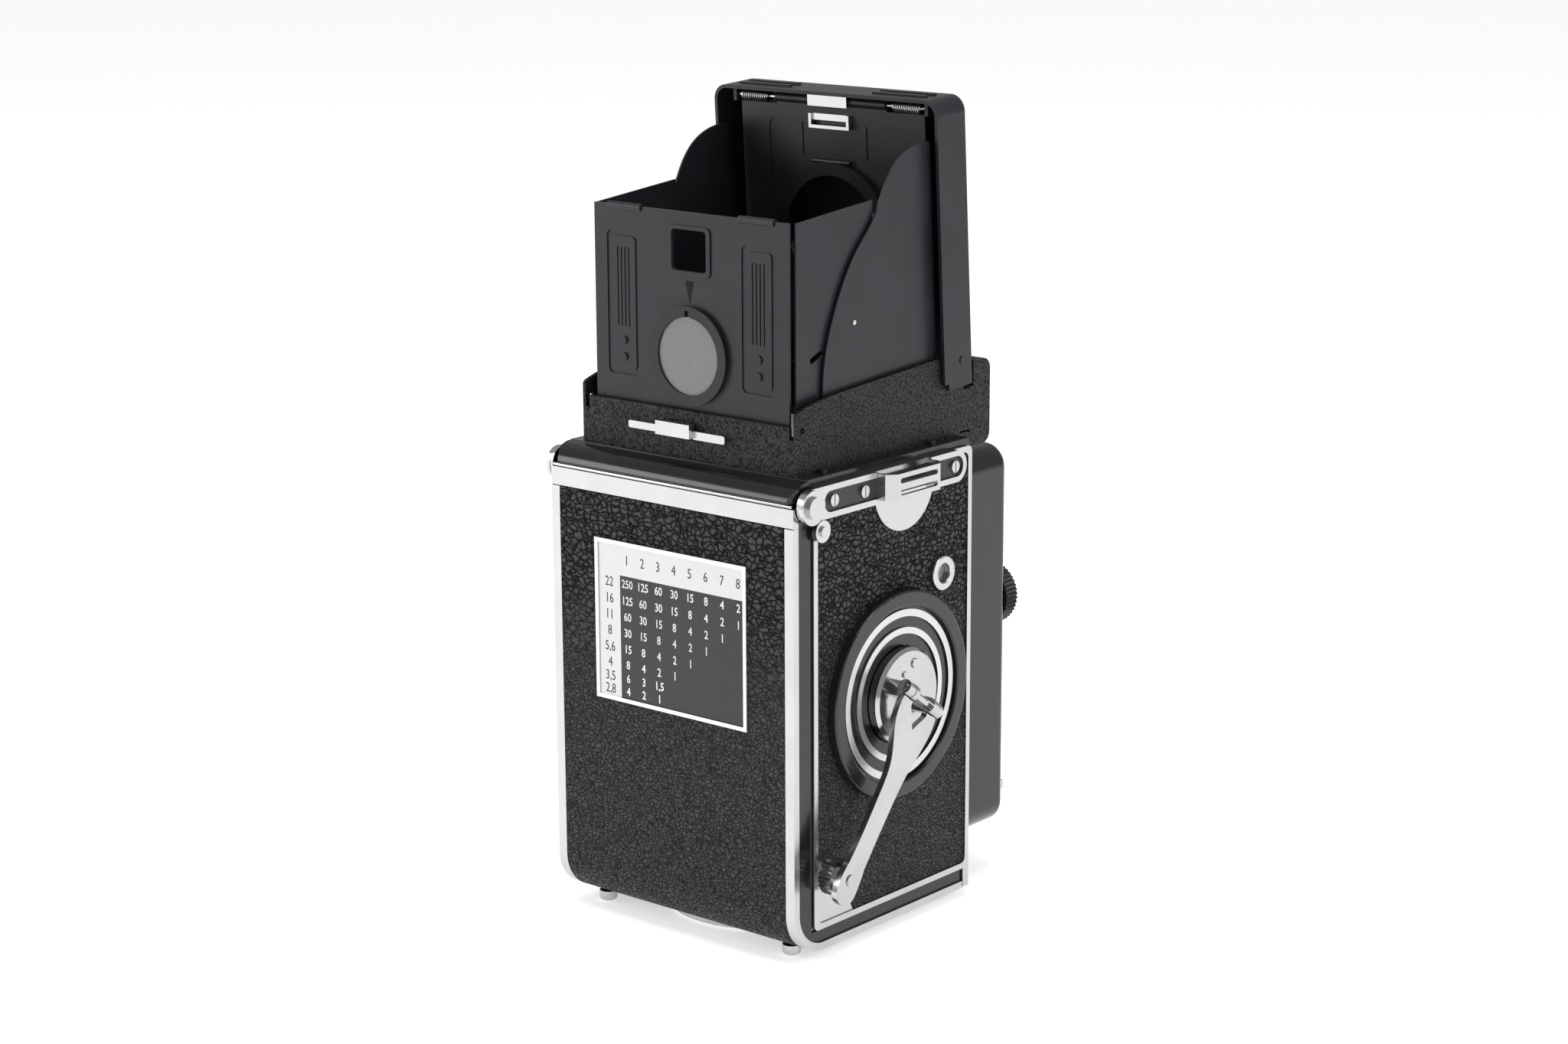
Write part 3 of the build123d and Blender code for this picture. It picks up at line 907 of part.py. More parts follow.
TUBE_Y0 = 26.6             # rear end of the lens tubes, still in their bores at full travel
VIEW_GLASS_R = 12.0
TAKE_GLASS_R = 11.0


def front_controls():
    """Exposure wheels, release button with its lock ring, flash socket and self-timer lever."""
    y0 = BOARD_Y1 + RUN_GAP
    for x, word in ((WHEEL_X, "shutter_speed_wheel"), (-WHEEL_X, "aperture_wheel")):
        wheel = prism_y(Pos(x, WHEEL_Z) * knurled(WHEEL_R, 0.4, 44), y0, y0 + 4.6)
        wheel += rod_y(1.6, BOARD_Y1 - 2.4 - 1.2, y0 + 1, x, WHEEL_Z)
        if abs(x) - WHEEL_R < 17.4:
            wheel -= rod_y(WHEEL_R - 3.2, y0 + 3.9, y0 + 6, x, WHEEL_Z)
        keep(**{word: wheel})
    button = rod_y(2.5, BOARD_Y1 - 5.2, BOARD_Y1 + 4.6, *RELEASE)
    button = fillet(button.edges().group_by(Axis.Y)[-1], 0.6)
    lock = rod_y(4.6, y0, y0 + 1.6, *RELEASE) - rod_y(2.6, y0 - 1, y0 + 3, *RELEASE)
    lock += block(RELEASE[0] + 3.8, RELEASE[0] + 8.2, y0, y0 + 1.6, RELEASE[1] - 1.1, RELEASE[1] + 1.1)
    socket = rod_y(2.4, BOARD_Y1 - 4.6, BOARD_Y1 + 2.4, *SYNC) - rod_y(1.7, BOARD_Y1, BOARD_Y1 + 4, *SYNC)
    socket += rod_y(0.5, BOARD_Y1 - 0.5, BOARD_Y1 + 2.0, *SYNC)
    lever = rod_y(2.2, y0, y0 + 1.8, *TIMER) + rod_y(1.4, BOARD_Y1 - 3.6, y0 + 0.5, *TIMER)
    lever += block(TIMER[0] - 6.4, TIMER[0], y0 + 0.2, y0 + 1.6, TIMER[1] - 1.2, TIMER[1] + 1.2)
    keep(release_button=button, release_lock=lock, sync_socket=socket, self_timer_lever=lever)


# ---------------------------------------------------------------- assembly
keep(body_casting=body_casting(), top_cover=top_moulding() + deck(), take_up_spool=spool(TAKE_UP_Y, TAKE_UP_Z),
     supply_spool=spool(SUPPLY_Y, SUPPLY_Z), film_roller=film_roller())
side_skins()
optics_inside()
winding_train()
crank()
left_knobs()
hinged_back()
pressure_plate()
keep(hood_base=hood_base(), rear_panel=rear_panel(), hood_catch=hood_catch(), lid_shell=lid())
for side_sign, side_word in ((1, "right"), (-1, "left")):
    keep(**{f"rear_leaf_{side_word}": rear_leaf(side_sign), f"front_leaf_{side_word}": front_leaf(side_sign)})
rear_eyepiece()
lid_fittings()
keep(windows=solids(counter(), front_fittings()), screws_and_pins=solids(*strap_fittings(), *hood_hardware()))
lens_units()
front_controls()

for node, part in PARTS.items():
    part.label = node
    export_step(part, f"parts/{node}.step")
print(len(PARTS), "nodes")
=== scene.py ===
"""Finishes, printed numbers, springs and studio of a twin lens reflex camera."""
import json
import logging
import math
from dataclasses import dataclass, field
from enum import Enum
from typing import Sequence

import bpy
import numpy as np
from mathutils import Matrix, Vector


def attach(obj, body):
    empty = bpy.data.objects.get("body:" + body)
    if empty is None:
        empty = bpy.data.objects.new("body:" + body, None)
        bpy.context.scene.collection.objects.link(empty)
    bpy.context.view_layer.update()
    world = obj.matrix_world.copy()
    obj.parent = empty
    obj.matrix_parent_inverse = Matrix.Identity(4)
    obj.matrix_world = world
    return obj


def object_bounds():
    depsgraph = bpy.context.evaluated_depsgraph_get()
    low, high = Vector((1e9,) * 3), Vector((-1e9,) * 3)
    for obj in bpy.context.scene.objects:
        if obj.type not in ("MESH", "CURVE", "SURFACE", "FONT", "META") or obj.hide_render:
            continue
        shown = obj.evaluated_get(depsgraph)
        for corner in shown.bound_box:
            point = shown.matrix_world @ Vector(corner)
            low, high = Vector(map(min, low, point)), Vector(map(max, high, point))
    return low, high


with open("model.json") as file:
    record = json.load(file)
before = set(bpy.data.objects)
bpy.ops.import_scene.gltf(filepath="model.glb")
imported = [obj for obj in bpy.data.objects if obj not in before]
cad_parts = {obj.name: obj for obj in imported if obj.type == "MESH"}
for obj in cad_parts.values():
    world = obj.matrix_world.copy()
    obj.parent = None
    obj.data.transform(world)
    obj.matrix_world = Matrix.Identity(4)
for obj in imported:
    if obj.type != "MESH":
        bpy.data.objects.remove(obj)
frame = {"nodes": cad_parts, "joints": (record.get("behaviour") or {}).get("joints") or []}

LOG = logging.getLogger("camera")
MM = 0.001
CAD_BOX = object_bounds()
Colour = tuple[float, float, float]
CHROME_GREY: Colour = (0.56, 0.56, 0.555)
# Black of the painted shade in creases and pits, and of the sight arrow's own paint.
SHADE_AND_PAINT_BLACK: Colour = (0.003, 0.003, 0.003)
DUST_GREY: Colour = (0.3, 0.3, 0.3)
WHITE: Colour = (1.0, 1.0, 1.0)
PAINT_SHINE = 0.32


# ---------------------------------------------------------------- shader maths
class Val:
    """A shader value: one output socket whose operators add Math nodes beside it."""

    def __init__(self, sheet: "Sheet", socket: bpy.types.NodeSocket) -> None:
        """Wrap a socket of a sheet's tree."""
        self.sheet = sheet
        self.socket = socket

    def maths(self, operation: str, *values: "Val | float") -> "Val":
        """Add one Math node.

        Args:
            operation: Blender's name of the operation.
            values: all inputs in order, as numbers or other values.

        Returns:
            The node's result.
        """
        return self.sheet.add("ShaderNodeMath", {"operation": operation}, dict(enumerate(values)))

    def __add__(self, other: "Val | float") -> "Val":
        """Sum."""
        return self.maths("ADD", self, other)

    __radd__ = __add__

    def __sub__(self, other: "Val | float") -> "Val":
        """Difference."""
        return self.maths("SUBTRACT", self, other)

    def __rsub__(self, other: "Val | float") -> "Val":
        """Difference from a number."""
        return self.maths("SUBTRACT", other, self)

    def __mul__(self, other: "Val | float") -> "Val":
        """Product."""
        return self.maths("MULTIPLY", self, other)

    __rmul__ = __mul__

    def __pow__(self, other: "Val | float") -> "Val":
        """Power."""
        return self.maths("POWER", self, other)

    def __abs__(self) -> "Val":
        """Distance from zero."""
        return self.maths("ABSOLUTE", self)

    def __gt__(self, other: "Val | float") -> "Val":
        """One where this value is the greater."""
        return self.maths("GREATER_THAN", self, other)

    def __lt__(self, other: "Val | float") -> "Val":
        """One where this value is the smaller."""
        return self.maths("LESS_THAN", self, other)

    def __or__(self, other: "Val") -> "Val":
        """The greater of two masks."""
        return self.maths("MAXIMUM", self, other)

    def ramp(self, low: float, high: float) -> "Val":
        """Clamped straight rise from zero at low to one at high."""
        values = {"Value": self, "From Min": low, "From Max": high}
        return self.sheet.add("ShaderNodeMapRange", {"clamp": True}, values)

    def within(self, low: float, high: float) -> "Val":
        """One between two limits."""
        return (self > low) * (self < high)


class Sheet:
    """One material's node tree, with Object coordinates in millimetres."""

    def __init__(self, name: str) -> None:
        """Make an empty material with its output and main shader."""
        self.material = bpy.data.materials.new(name)
        self.material.use_nodes = True
        self.tree = self.material.node_tree
        self.tree.nodes.clear()
        self.shader = self.tree.nodes.new("ShaderNodeBsdfPrincipled")
        self.output = self.tree.nodes.new("ShaderNodeOutputMaterial")
        self.tree.links.new(self.shader.outputs[0], self.output.inputs["Surface"])
        coords = self.add("ShaderNodeTexCoord", {}, {}, "Object")
        self.place = self.add("ShaderNodeVectorMath", {"operation": "SCALE"}, {0: coords, "Scale": 1 / MM})

    def put(self, socket: bpy.types.NodeSocket, value: object) -> None:
        """Link a value to a socket, or set a plain one on it."""
        if isinstance(value, Val):
            self.tree.links.new(value.socket, socket)
        elif isinstance(value, tuple) and socket.type == "RGBA":
            socket.default_value = (*value, 1.0)
        else:
            socket.default_value = value

    def add(self, kind: str, settings: dict, values: dict, out: str | int = 0) -> Val:
        """Add any node.

        Args:
            kind: the node's type.
            settings: its own properties, set first.
            values: numbers, colours or links for its sockets, by name or place.
            out: the wanted output.

        Returns:
            That output as a value.
        """
        node = self.tree.nodes.new(kind)
        for word, setting in settings.items():
            setattr(node, word, setting)
        for key, value in values.items():
            self.put(node.inputs[key], value)
        return Val(self, node.outputs[out])

    def axis(self, letter: str) -> Val:
        """One coordinate in millimetres."""
        return self.add("ShaderNodeSeparateXYZ", {}, {0: self.place}, letter)

    def stretched(self, factors: Colour) -> Val:
        """The place multiplied by a factor along each axis."""
        return self.add("ShaderNodeVectorMath", {"operation": "MULTIPLY"}, {0: self.place, 1: factors})

    def noise(self, per_mm: float, detail: float = 3.0, at: Val | None = None) -> Val:
        """Smooth noise between about 0 and 1, a number of waves to the millimetre."""
        values = {"Vector": at or self.place, "Scale": per_mm, "Detail": detail}
        return self.add("ShaderNodeTexNoise", {}, values)

    def cells(self, per_mm: float, at: Val) -> Val:
        """Distance to the nearest border of irregular cells."""
        values = {"Vector": at, "Scale": per_mm}
        return self.add("ShaderNodeTexVoronoi", {"feature": "DISTANCE_TO_EDGE"}, values)

    def blend(self, mask: Val, first: object, second: object) -> Val:
        """Colour going from the first to the second as the mask rises."""
        return self.add("ShaderNodeMix", {"data_type": "RGBA"}, {0: mask, 6: first, 7: second}, 2)

    def worn(self, rub: Val, colour: Colour) -> Val:
        """Paint that pales a little where it is rubbed."""
        return self.blend(rub.ramp(0.35, 0.7), shade(colour, 0.85), shade(colour, 1.2))

    def relief(self, height: Val) -> Val:
        """Normal of a height given in millimetres."""
        return self.add("ShaderNodeBump", {}, {"Strength": 1.0, "Distance": MM, "Height": height})

    def paint_shade(self, mask: Val) -> None:
        """Paint shade: let a dull black take over from the main shader where the mask rises, as painted
        shade in deep creases and pits.
        """
        dull = self.add("ShaderNodeBsdfDiffuse", {}, {"Color": SHADE_AND_PAINT_BLACK})
        main_shader = Val(self, self.shader.outputs[0])
        both = self.add("ShaderNodeMixShader", {}, {0: mask, 1: main_shader, 2: dull})
        self.tree.links.new(both.socket, self.output.inputs["Surface"])

    def done(self, **sockets: object) -> bpy.types.Material:
        """Fill the main shader's sockets; underscores stand for spaces."""
        for word, value in sockets.items():
            self.put(self.shader.inputs[word.replace("_", " ")], value)
        return self.material


def shade(colour: Colour, factor: float) -> Colour:
    """A colour times a factor."""
    return tuple(min(1.0, c * factor) for c in colour)


# ---------------------------------------------------------------- finishes
@dataclass(frozen=True)
class Leather:
    """Pebbled leather whose grain is coarse near the top and finer lower down."""

    name: str
    stretch: tuple[float, float, float] = (0.75, 1.0, 1.15)
    colour: Colour = (0.016, 0.016, 0.017)
    fine_below: float = 52.0
    coarse_from: float = 84.0
    bend: float = 2.6

    def material(self) -> bpy.types.Material:
        """Height is a rounded cell pattern, bent by noise, plus fine pores."""
        sheet = Sheet(self.name)
        swirl = {"Vector": sheet.place, "Scale": 0.35, "Detail": 3.0}
        bend = sheet.add("ShaderNodeTexNoise", {}, swirl, "Color")
        bend = sheet.add("ShaderNodeVectorMath", {"operation": "SCALE"}, {0: bend, "Scale": self.bend})
        straight = sheet.stretched(self.stretch)
        at = sheet.add("ShaderNodeVectorMath", {"operation": "ADD"}, {0: straight, 1: bend})
        coarse = sheet.cells(0.62, at).ramp(0.0, 0.34)
        fine = sheet.cells(1.0, at).ramp(0.0, 0.36)
        upper = sheet.axis("Z").ramp(self.fine_below, self.coarse_from)
        grain = 1 - (1 - (coarse * upper + fine * (1 - upper))) ** 2
        pores = sheet.noise(5.0, 2.0)
        patches = sheet.noise(0.12, 2.0)
        height = grain * (0.16 + 0.2 * upper) + pores * 0.03
        # Painted shade and highlight: the colour is darker in the grain's creases and lighter on the
        # pebbles' tops.
        colour = sheet.blend(grain, shade(self.colour, 0.45), shade(self.colour, 1.25))
        # Painted shade: a dull black shader takes over in the creases, more so on the coarse grain at the
        # top.
        sheet.paint_shade((1 - grain) * (0.75 + 0.2 * upper))
        rough = 0.52 - 0.1 * grain + 0.14 * (patches - 0.5) + 0.05 * pores
        return sheet.done(Base_Color=colour, Roughness=rough, Specular_IOR_Level=0.45,
                          Normal=sheet.relief(height))


@dataclass(frozen=True)
class Plated:
    """Bare or plated metal with a fine lay, cloudy wear and darker spots."""

    name: str
    colour: Colour
    rough: float
    lay: tuple[float, float, float] = (0.2, 3.0, 3.0)
    grain: float = 0.0035

    def material(self) -> bpy.types.Material:
        """Roughness and tint follow two noises; the relief follows the lay."""
        sheet = Sheet(self.name)
        cloud = sheet.noise(0.11, 4.0)
        lay = sheet.noise(2.2, 3.0, sheet.stretched(self.lay))
        colour = sheet.blend(cloud.ramp(0.3, 0.75), shade(self.colour, 0.9), self.colour)
        rough = self.rough + 0.1 * (cloud - 0.5) + 0.06 * (lay - 0.5)
        return sheet.done(Base_Color=colour, Metallic=1.0, Roughness=rough,
                          Normal=sheet.relief(lay * self.grain))


@dataclass(frozen=True)
class Enamel:
    """Black paint: its texture size, height and gloss tell moulding, sheet and crinkle apart."""

    name: str
    colour: Colour
    rough: float
    per_mm: float = 0.5
    height: float = 0.004
    coat: float = 0.0
    # Weight of the painted shade in the hollows; zero for none.
    pits: float = 0.0

    def material(self) -> bpy.types.Material:
        """Relief is one noise; dust and rubbing shift colour and roughness, and painted shade darkens the
        deep hollows with a dull black shader.
        """
        sheet = Sheet(self.name)
        if self.pits:
            # Painted shade: a dull black shader takes over in the crinkle's hollows.
            sheet.paint_shade((1 - sheet.noise(self.per_mm, 3.0).ramp(0.4, 0.56)) * self.pits)
        skin = sheet.noise(self.per_mm, 4.0)
        rub = sheet.noise(0.07, 5.0)
        dust = sheet.noise(9.0, 1.0).ramp(0.74, 0.82)
        colour = sheet.blend(dust * 0.12, sheet.worn(rub, self.colour), DUST_GREY)
        rough = self.rough + 0.12 * (rub - 0.5) + 0.1 * dust
        return sheet.done(Base_Color=colour, Roughness=rough, Specular_IOR_Level=PAINT_SHINE,
                          Coat_Weight=self.coat, Coat_Roughness=0.08,
                          Normal=sheet.relief(skin * self.height))


@dataclass(frozen=True)
class Clear:
    """Optical glass with a faint coating and a little dust."""

    name: str
    colour: Colour
    through: float = 1.0
    rough: float = 0.02
    dust_tint: Colour = (0.45, 0.4, 0.75)

    def material(self) -> bpy.types.Material:
        """Dust lifts the roughness and shifts the colour towards a violet tint."""
        sheet = Sheet(self.name)
        dust = sheet.noise(1.3, 5.0).ramp(0.55, 0.85)
        colour = sheet.blend(dust * 0.2, self.colour, self.dust_tint)
        return sheet.done(Base_Color=colour, Roughness=self.rough + 0.08 * dust,
                          Transmission_Weight=self.through, IOR=1.52, Coat_Weight=0.3, Coat_Roughness=0.03)


@dataclass(frozen=True)
class Parted:
    """Black paint on one side of a limit and bright metal on the other.

    The limit is a distance from the middle plane, or a height, in millimetres.
    """

    name: str
    letter: str
    limit: float
    bright_above: bool
    colour: Colour = (0.016, 0.017, 0.021)

    def material(self) -> bpy.types.Material:
        """The mask is one on the bright side of the limit."""
        sheet = Sheet(self.name)
        reach = abs(sheet.axis(self.letter))
        mask = reach > self.limit if self.bright_above else reach < self.limit
        rub = sheet.noise(0.07, 5.0)
        skin = sheet.noise(1.6, 4.0)
        colour = sheet.blend(mask, sheet.worn(rub, self.colour), CHROME_GREY)
        rough = 0.36 - 0.12 * mask + 0.12 * (rub - 0.5)
        return sheet.done(Base_Color=colour, Metallic=mask, Specular_IOR_Level=PAINT_SHINE, Roughness=rough,
                          Normal=sheet.relief(skin * 0.003))


@dataclass(frozen=True)
class RingedDisc:
    """Black crank disc whose two raised rings are bright."""

    name: str
    centre: tuple[float, float]
    rings: tuple[tuple[float, float], ...] = ((19.5, 21.3), (15.2, 16.8))
    floor_x: float = 39.75

    def material(self) -> bpy.types.Material:
        """The mask is one on what stands above the floor, between a ring's two radii."""
        sheet = Sheet(self.name)
        y, z = sheet.axis("Y") - self.centre[0], sheet.axis("Z") - self.centre[1]
        radius = (y * y + z * z) ** 0.5
        proud = sheet.axis("X") > self.floor_x
        mask = (radius.within(*self.rings[0]) | radius.within(*self.rings[1])) * proud
        round_axis = {"W": radius * 4.0, "Scale": 1.0}
        grooves = sheet.add("ShaderNodeTexNoise", {"noise_dimensions": "1D"}, round_axis)
        rub = sheet.noise(0.2, 4.0)
        colour = sheet.blend(mask, (0.012, 0.012, 0.013), (0.62, 0.62, 0.61))
        rough = 0.2 + 0.12 * mask + 0.1 * (rub - 0.5)
        return sheet.done(Base_Color=colour, Metallic=mask * 0.9, Roughness=rough,
                          Normal=sheet.relief(grooves * 0.004))


@dataclass(frozen=True)
class TablePlate:
    """Exposure table: bright frame, header and stop column around a black field."""

    name: str
    half: float = 23.5
    low: float = 55.8
    high: float = 94.6
    column: float = -16.3
    header: float = 87.0

    def material(self) -> bpy.types.Material:
        """The field is black where x and z lie inside its four edges."""
        sheet = Sheet(self.name)
        x, z = sheet.axis("X"), sheet.axis("Z")
        black = x.within(self.column, self.half) * z.within(self.low, self.header)
        rules = x.within(-self.half, self.half) * z.within(self.low, self.high) * (1 - black)
        wear = sheet.noise(0.4, 4.0)
        bare = sheet.blend(rules, (0.76, 0.76, 0.75), (0.58, 0.58, 0.57))
        colour = sheet.blend(black, bare, sheet.blend(wear, (0.006, 0.006, 0.006), (0.014, 0.014, 0.014)))
        rough = 0.34 - 0.1 * black + 0.1 * (wear - 0.5)
        return sheet.done(Base_Color=colour, Metallic=0.85 * (1 - black), Roughness=rough,
                          Normal=sheet.relief(wear * 0.004))


@dataclass(frozen=True)
class InlaidRail:
    """Bright strap rail with a black painted floor between its edges."""

    name: str
    inner: float = 39.3
    outer: float = 39.68
    middle_z: float = 111.6
    half_width: float = 2.75
    rear_y: float = -25.6

    def material(self) -> bpy.types.Material:
        """The floor is where the distance from the middle plane, the height and y all match it."""
        sheet = Sheet(self.name)
        depth = abs(sheet.axis("X")).within(self.inner, self.outer)
        height = abs(sheet.axis("Z") - self.middle_z) < self.half_width
        floor = depth * height * (sheet.axis("Y") > self.rear_y)
        lay = sheet.noise(1.4, 3.0)
        bright = sheet.blend(lay, (0.5, 0.5, 0.5), (0.57, 0.57, 0.565))
        colour = sheet.blend(floor, bright, (0.012, 0.012, 0.012))
        rough = 0.22 + 0.15 * floor + 0.06 * (lay - 0.5)
        return sheet.done(Base_Color=colour, Metallic=1 - floor, Roughness=rough,
                          Normal=sheet.relief(lay * 0.003))


@dataclass(frozen=True)
class GroundScreen:
    """Ground glass with thin black guide lines."""

    name: str
    pitch: float = 9.0
    half_line: float = 0.09

    def ruled(self, along: Val) -> Val:
        """One where a coordinate is close to a multiple of the pitch."""
        return along.maths("PINGPONG", along, self.pitch / 2) < self.half_line

    def material(self) -> bpy.types.Material:
        """Lines are ruled across x and across y."""
        sheet = Sheet(self.name)
        lines = self.ruled(sheet.axis("X")) | self.ruled(sheet.axis("Y"))
        grit = sheet.noise(14.0, 2.0)
        ground = sheet.blend(grit, (0.3, 0.32, 0.32), (0.42, 0.43, 0.42))
        colour = sheet.blend(lines, ground, (0.01, 0.01, 0.01))
        return sheet.done(Base_Color=colour, Roughness=0.45 + 0.2 * grit, Normal=sheet.relief(grit * 0.01))


class Surface(Enum):
    """Every finish on the camera, by the use it has."""

    LEATHER = Leather("pebbled_leather")
    SIDE_LEATHER = Leather("side_leather", stretch=(1.0, 0.95, 1.25))
    CHROME = Plated("satin_chrome", CHROME_GREY, 0.25)
    STEEL = Plated("polished_steel", (0.52, 0.52, 0.515), 0.16, (3.0, 3.0, 0.25))
    BRASS = Plated("turned_brass", (0.78, 0.58, 0.28), 0.3)
    ALLOY = Plated("cast_alloy", (0.18, 0.18, 0.185), 0.5, (1.0, 1.0, 1.0), 0.03)
    GLOSS = Enamel("gloss_moulding", (0.009, 0.009, 0.010), 0.16, 0.25, 0.006, 0.25)
    SHEET = Enamel("satin_hood_sheet", (0.016, 0.017, 0.021), 0.36, 1.6, 0.003)
    CRINKLE = Enamel("crinkle_paint", (0.013, 0.013, 0.014), 0.42, 1.9, 0.2, 0.0, 0.7)
    DARK = Enamel("black_metal", (0.012, 0.012, 0.013), 0.3, 2.5, 0.003)
    INNER = Enamel("matt_inside", (0.010, 0.010, 0.010), 0.7, 3.0, 0.02)
    GLASS = Clear("lens_glass", (0.93, 0.94, 0.97))
    EYE = Clear("hazed_eyepiece", (0.2, 0.2, 0.205), 0.3, 0.22)
    MIRROR = Plated("silvered_mirror", (0.9, 0.9, 0.9), 0.05, (1.0, 1.0, 1.0), 0.0005)
    LEAF = Parted("riveted_leaf", "X", 32.66, True)
    PINS = Parted("screws_and_pins", "Z", 117.0, False)
    SCREEN = GroundScreen("ground_screen")
    DISC = RingedDisc("ringed_disc", (4.4, 58.1))
    TABLE = TablePlate("table_plate")
    RAIL = InlaidRail("inlaid_rail")
    WHITE_INK = Enamel("white_ink", (0.82, 0.82, 0.8), 0.5, 3.0, 0.002)
    ARROW = Enamel("arrow_paint", SHADE_AND_PAINT_BLACK, 0.75, 3.0, 0.002)
    BLACK_INK = Enamel("black_ink", (0.03, 0.03, 0.03), 0.5, 3.0, 0.002)


DRESS: dict[Surface, tuple[str, ...]] = {
    Surface.LEATHER: ("back_leather",),
    Surface.SIDE_LEATHER: ("body_leather",),
    Surface.CHROME: ("side_trim", "back_trim", "strap_bridges", "focus_knob", "take_up_knob",
                     "supply_knob", "counter_bezel", "feet", "tripod_socket", "lock_ring", "release_lock",
                     "self_timer_lever", "sync_socket", "hood_catch"),
    Surface.STEEL: ("crank_hub", "crank_arm", "crank_knob", "flap_hinge", "flap_clip", "back_hinge_pin",
                    "pressure_springs", "film_roller", "release_button"),
    Surface.BRASS: ("idler_gear", "take_up_gear"),
    Surface.ALLOY: ("body_casting",),
    Surface.GLOSS: ("top_cover", "lens_board", "back_shell"),
    Surface.SHEET: ("rear_panel", "rear_leaf_right", "rear_leaf_left", "lid_shell", "finder_flap"),
    Surface.LEAF: ("front_leaf_right", "front_leaf_left"),
    Surface.PINS: ("screws_and_pins",),
    Surface.CRINKLE: ("hood_base", "name_block"),
    Surface.DARK: ("eyepiece_bezel", "magnifier_ring", "viewing_lens", "shutter_housing",
                   "shutter_speed_wheel", "aperture_wheel", "counter_dial"),
    Surface.INNER: ("take_up_spool", "supply_spool", "pressure_plate"),
    Surface.GLASS: ("lens_glass", "magnifier_lens", "windows"),
    Surface.EYE: ("eyepiece_lens",),
    Surface.MIRROR: ("reflex_mirror",),
    Surface.SCREEN: ("focusing_screen",),
    Surface.DISC: ("crank_disc",),
    Surface.TABLE: ("exposure_table",),
    Surface.RAIL: ("strap_rails",),
}
BUILT: dict[Surface, bpy.types.Material] = {}


def finish_of(surface: Surface) -> bpy.types.Material:
    """Material of a surface, built once."""
    if surface not in BUILT:
        BUILT[surface] = surface.value.material()
    return BUILT[surface]


def dress_nodes() -> None:
    """Give every carried-over solid its own finish."""
    for surface, names in DRESS.items():
        for name in names:
            mesh = frame["nodes"][name].data
            mesh.materials.clear()
            mesh.materials.append(finish_of(surface))
            LOG.info("dressed %s as %s", name, surface.name)


# ---------------------------------------------------------------- meshes
def closed_faces(rows: int, columns: int) -> list:
    """Quads of a grid that is closed along its columns, and one more face over each end."""
    r, c = np.meshgrid(np.arange(rows - 1), np.arange(columns), indexing="ij")
    n = (c + 1) % columns
    corners = [r * columns + c, r * columns + n, (r + 1) * columns + n, (r + 1) * columns + c]
    start = list(range(columns))
    end = [(rows - 1) * columns + i for i in start]
    return np.stack(corners, -1).reshape(-1, 4).tolist() + [start[::-1], end]


def piece(name: str, points: np.ndarray, faces: Sequence, surface: Surface, body: str,
          smooth: bool = True) -> bpy.types.Object:
    """Make one new piece.

    Args:
        name: the piece's name.
        points: vertices in millimetres.
        faces: vertex indices of each face.
        surface: its finish.
        body: the body it moves with.
        smooth: whether its faces are shaded smooth.

    Returns:
        The object, riding on its body.
    """
    mesh = bpy.data.meshes.new(name)
    mesh.from_pydata((np.asarray(points) * MM).tolist(), [], [list(f) for f in faces])
    mesh.polygons.foreach_set("use_smooth", np.full(len(mesh.polygons), smooth))
    mesh.validate()
    mesh.materials.append(finish_of(surface))
    item = bpy.data.objects.new(name, mesh)
    bpy.context.scene.collection.objects.link(item)
    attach(item, body)
    LOG.info("made %s: %d points", name, len(points))
    return item


def tube(path: np.ndarray, radius: float, sides: int = 10) -> tuple[np.ndarray, list]:
    """Round wire along a path.

    A point is the path's point plus the radius times the cosine and sine of the angle along two normals,
    the first of which stays square to both the path and the x axis. Both ends are closed.
    """
    along = np.gradient(path, axis=0)
    along /= np.linalg.norm(along, axis=1, keepdims=True)
    side = np.cross(along, [1.0, 0.0, 0.0])
    side /= np.linalg.norm(side, axis=1, keepdims=True)
    up = np.cross(side, along)
    turn = np.linspace(0, 2 * math.pi, sides, endpoint=False)
    ring = np.cos(turn)[None, :, None] * side[:, None, :] + np.sin(turn)[None, :, None] * up[:, None, :]
    points = (path[:, None, :] + radius * ring).reshape(-1, 3)
    return points, closed_faces(len(path), sides)


def turned(profile: Sequence[tuple[float, float]], sides: int = 40) -> tuple[np.ndarray, list]:
    """Body of revolution about the x axis.

    Each (x, r) of the profile goes round in equal steps, and both ends are closed.
    """
    x, r = np.array(profile).T
    turn = np.linspace(0, 2 * math.pi, sides, endpoint=False)
    y, z = np.outer(r, np.cos(turn)).ravel(), np.outer(r, np.sin(turn)).ravel()
    points = np.stack([np.repeat(x, sides), y, z], 1)
    return points, closed_faces(len(profile), sides)


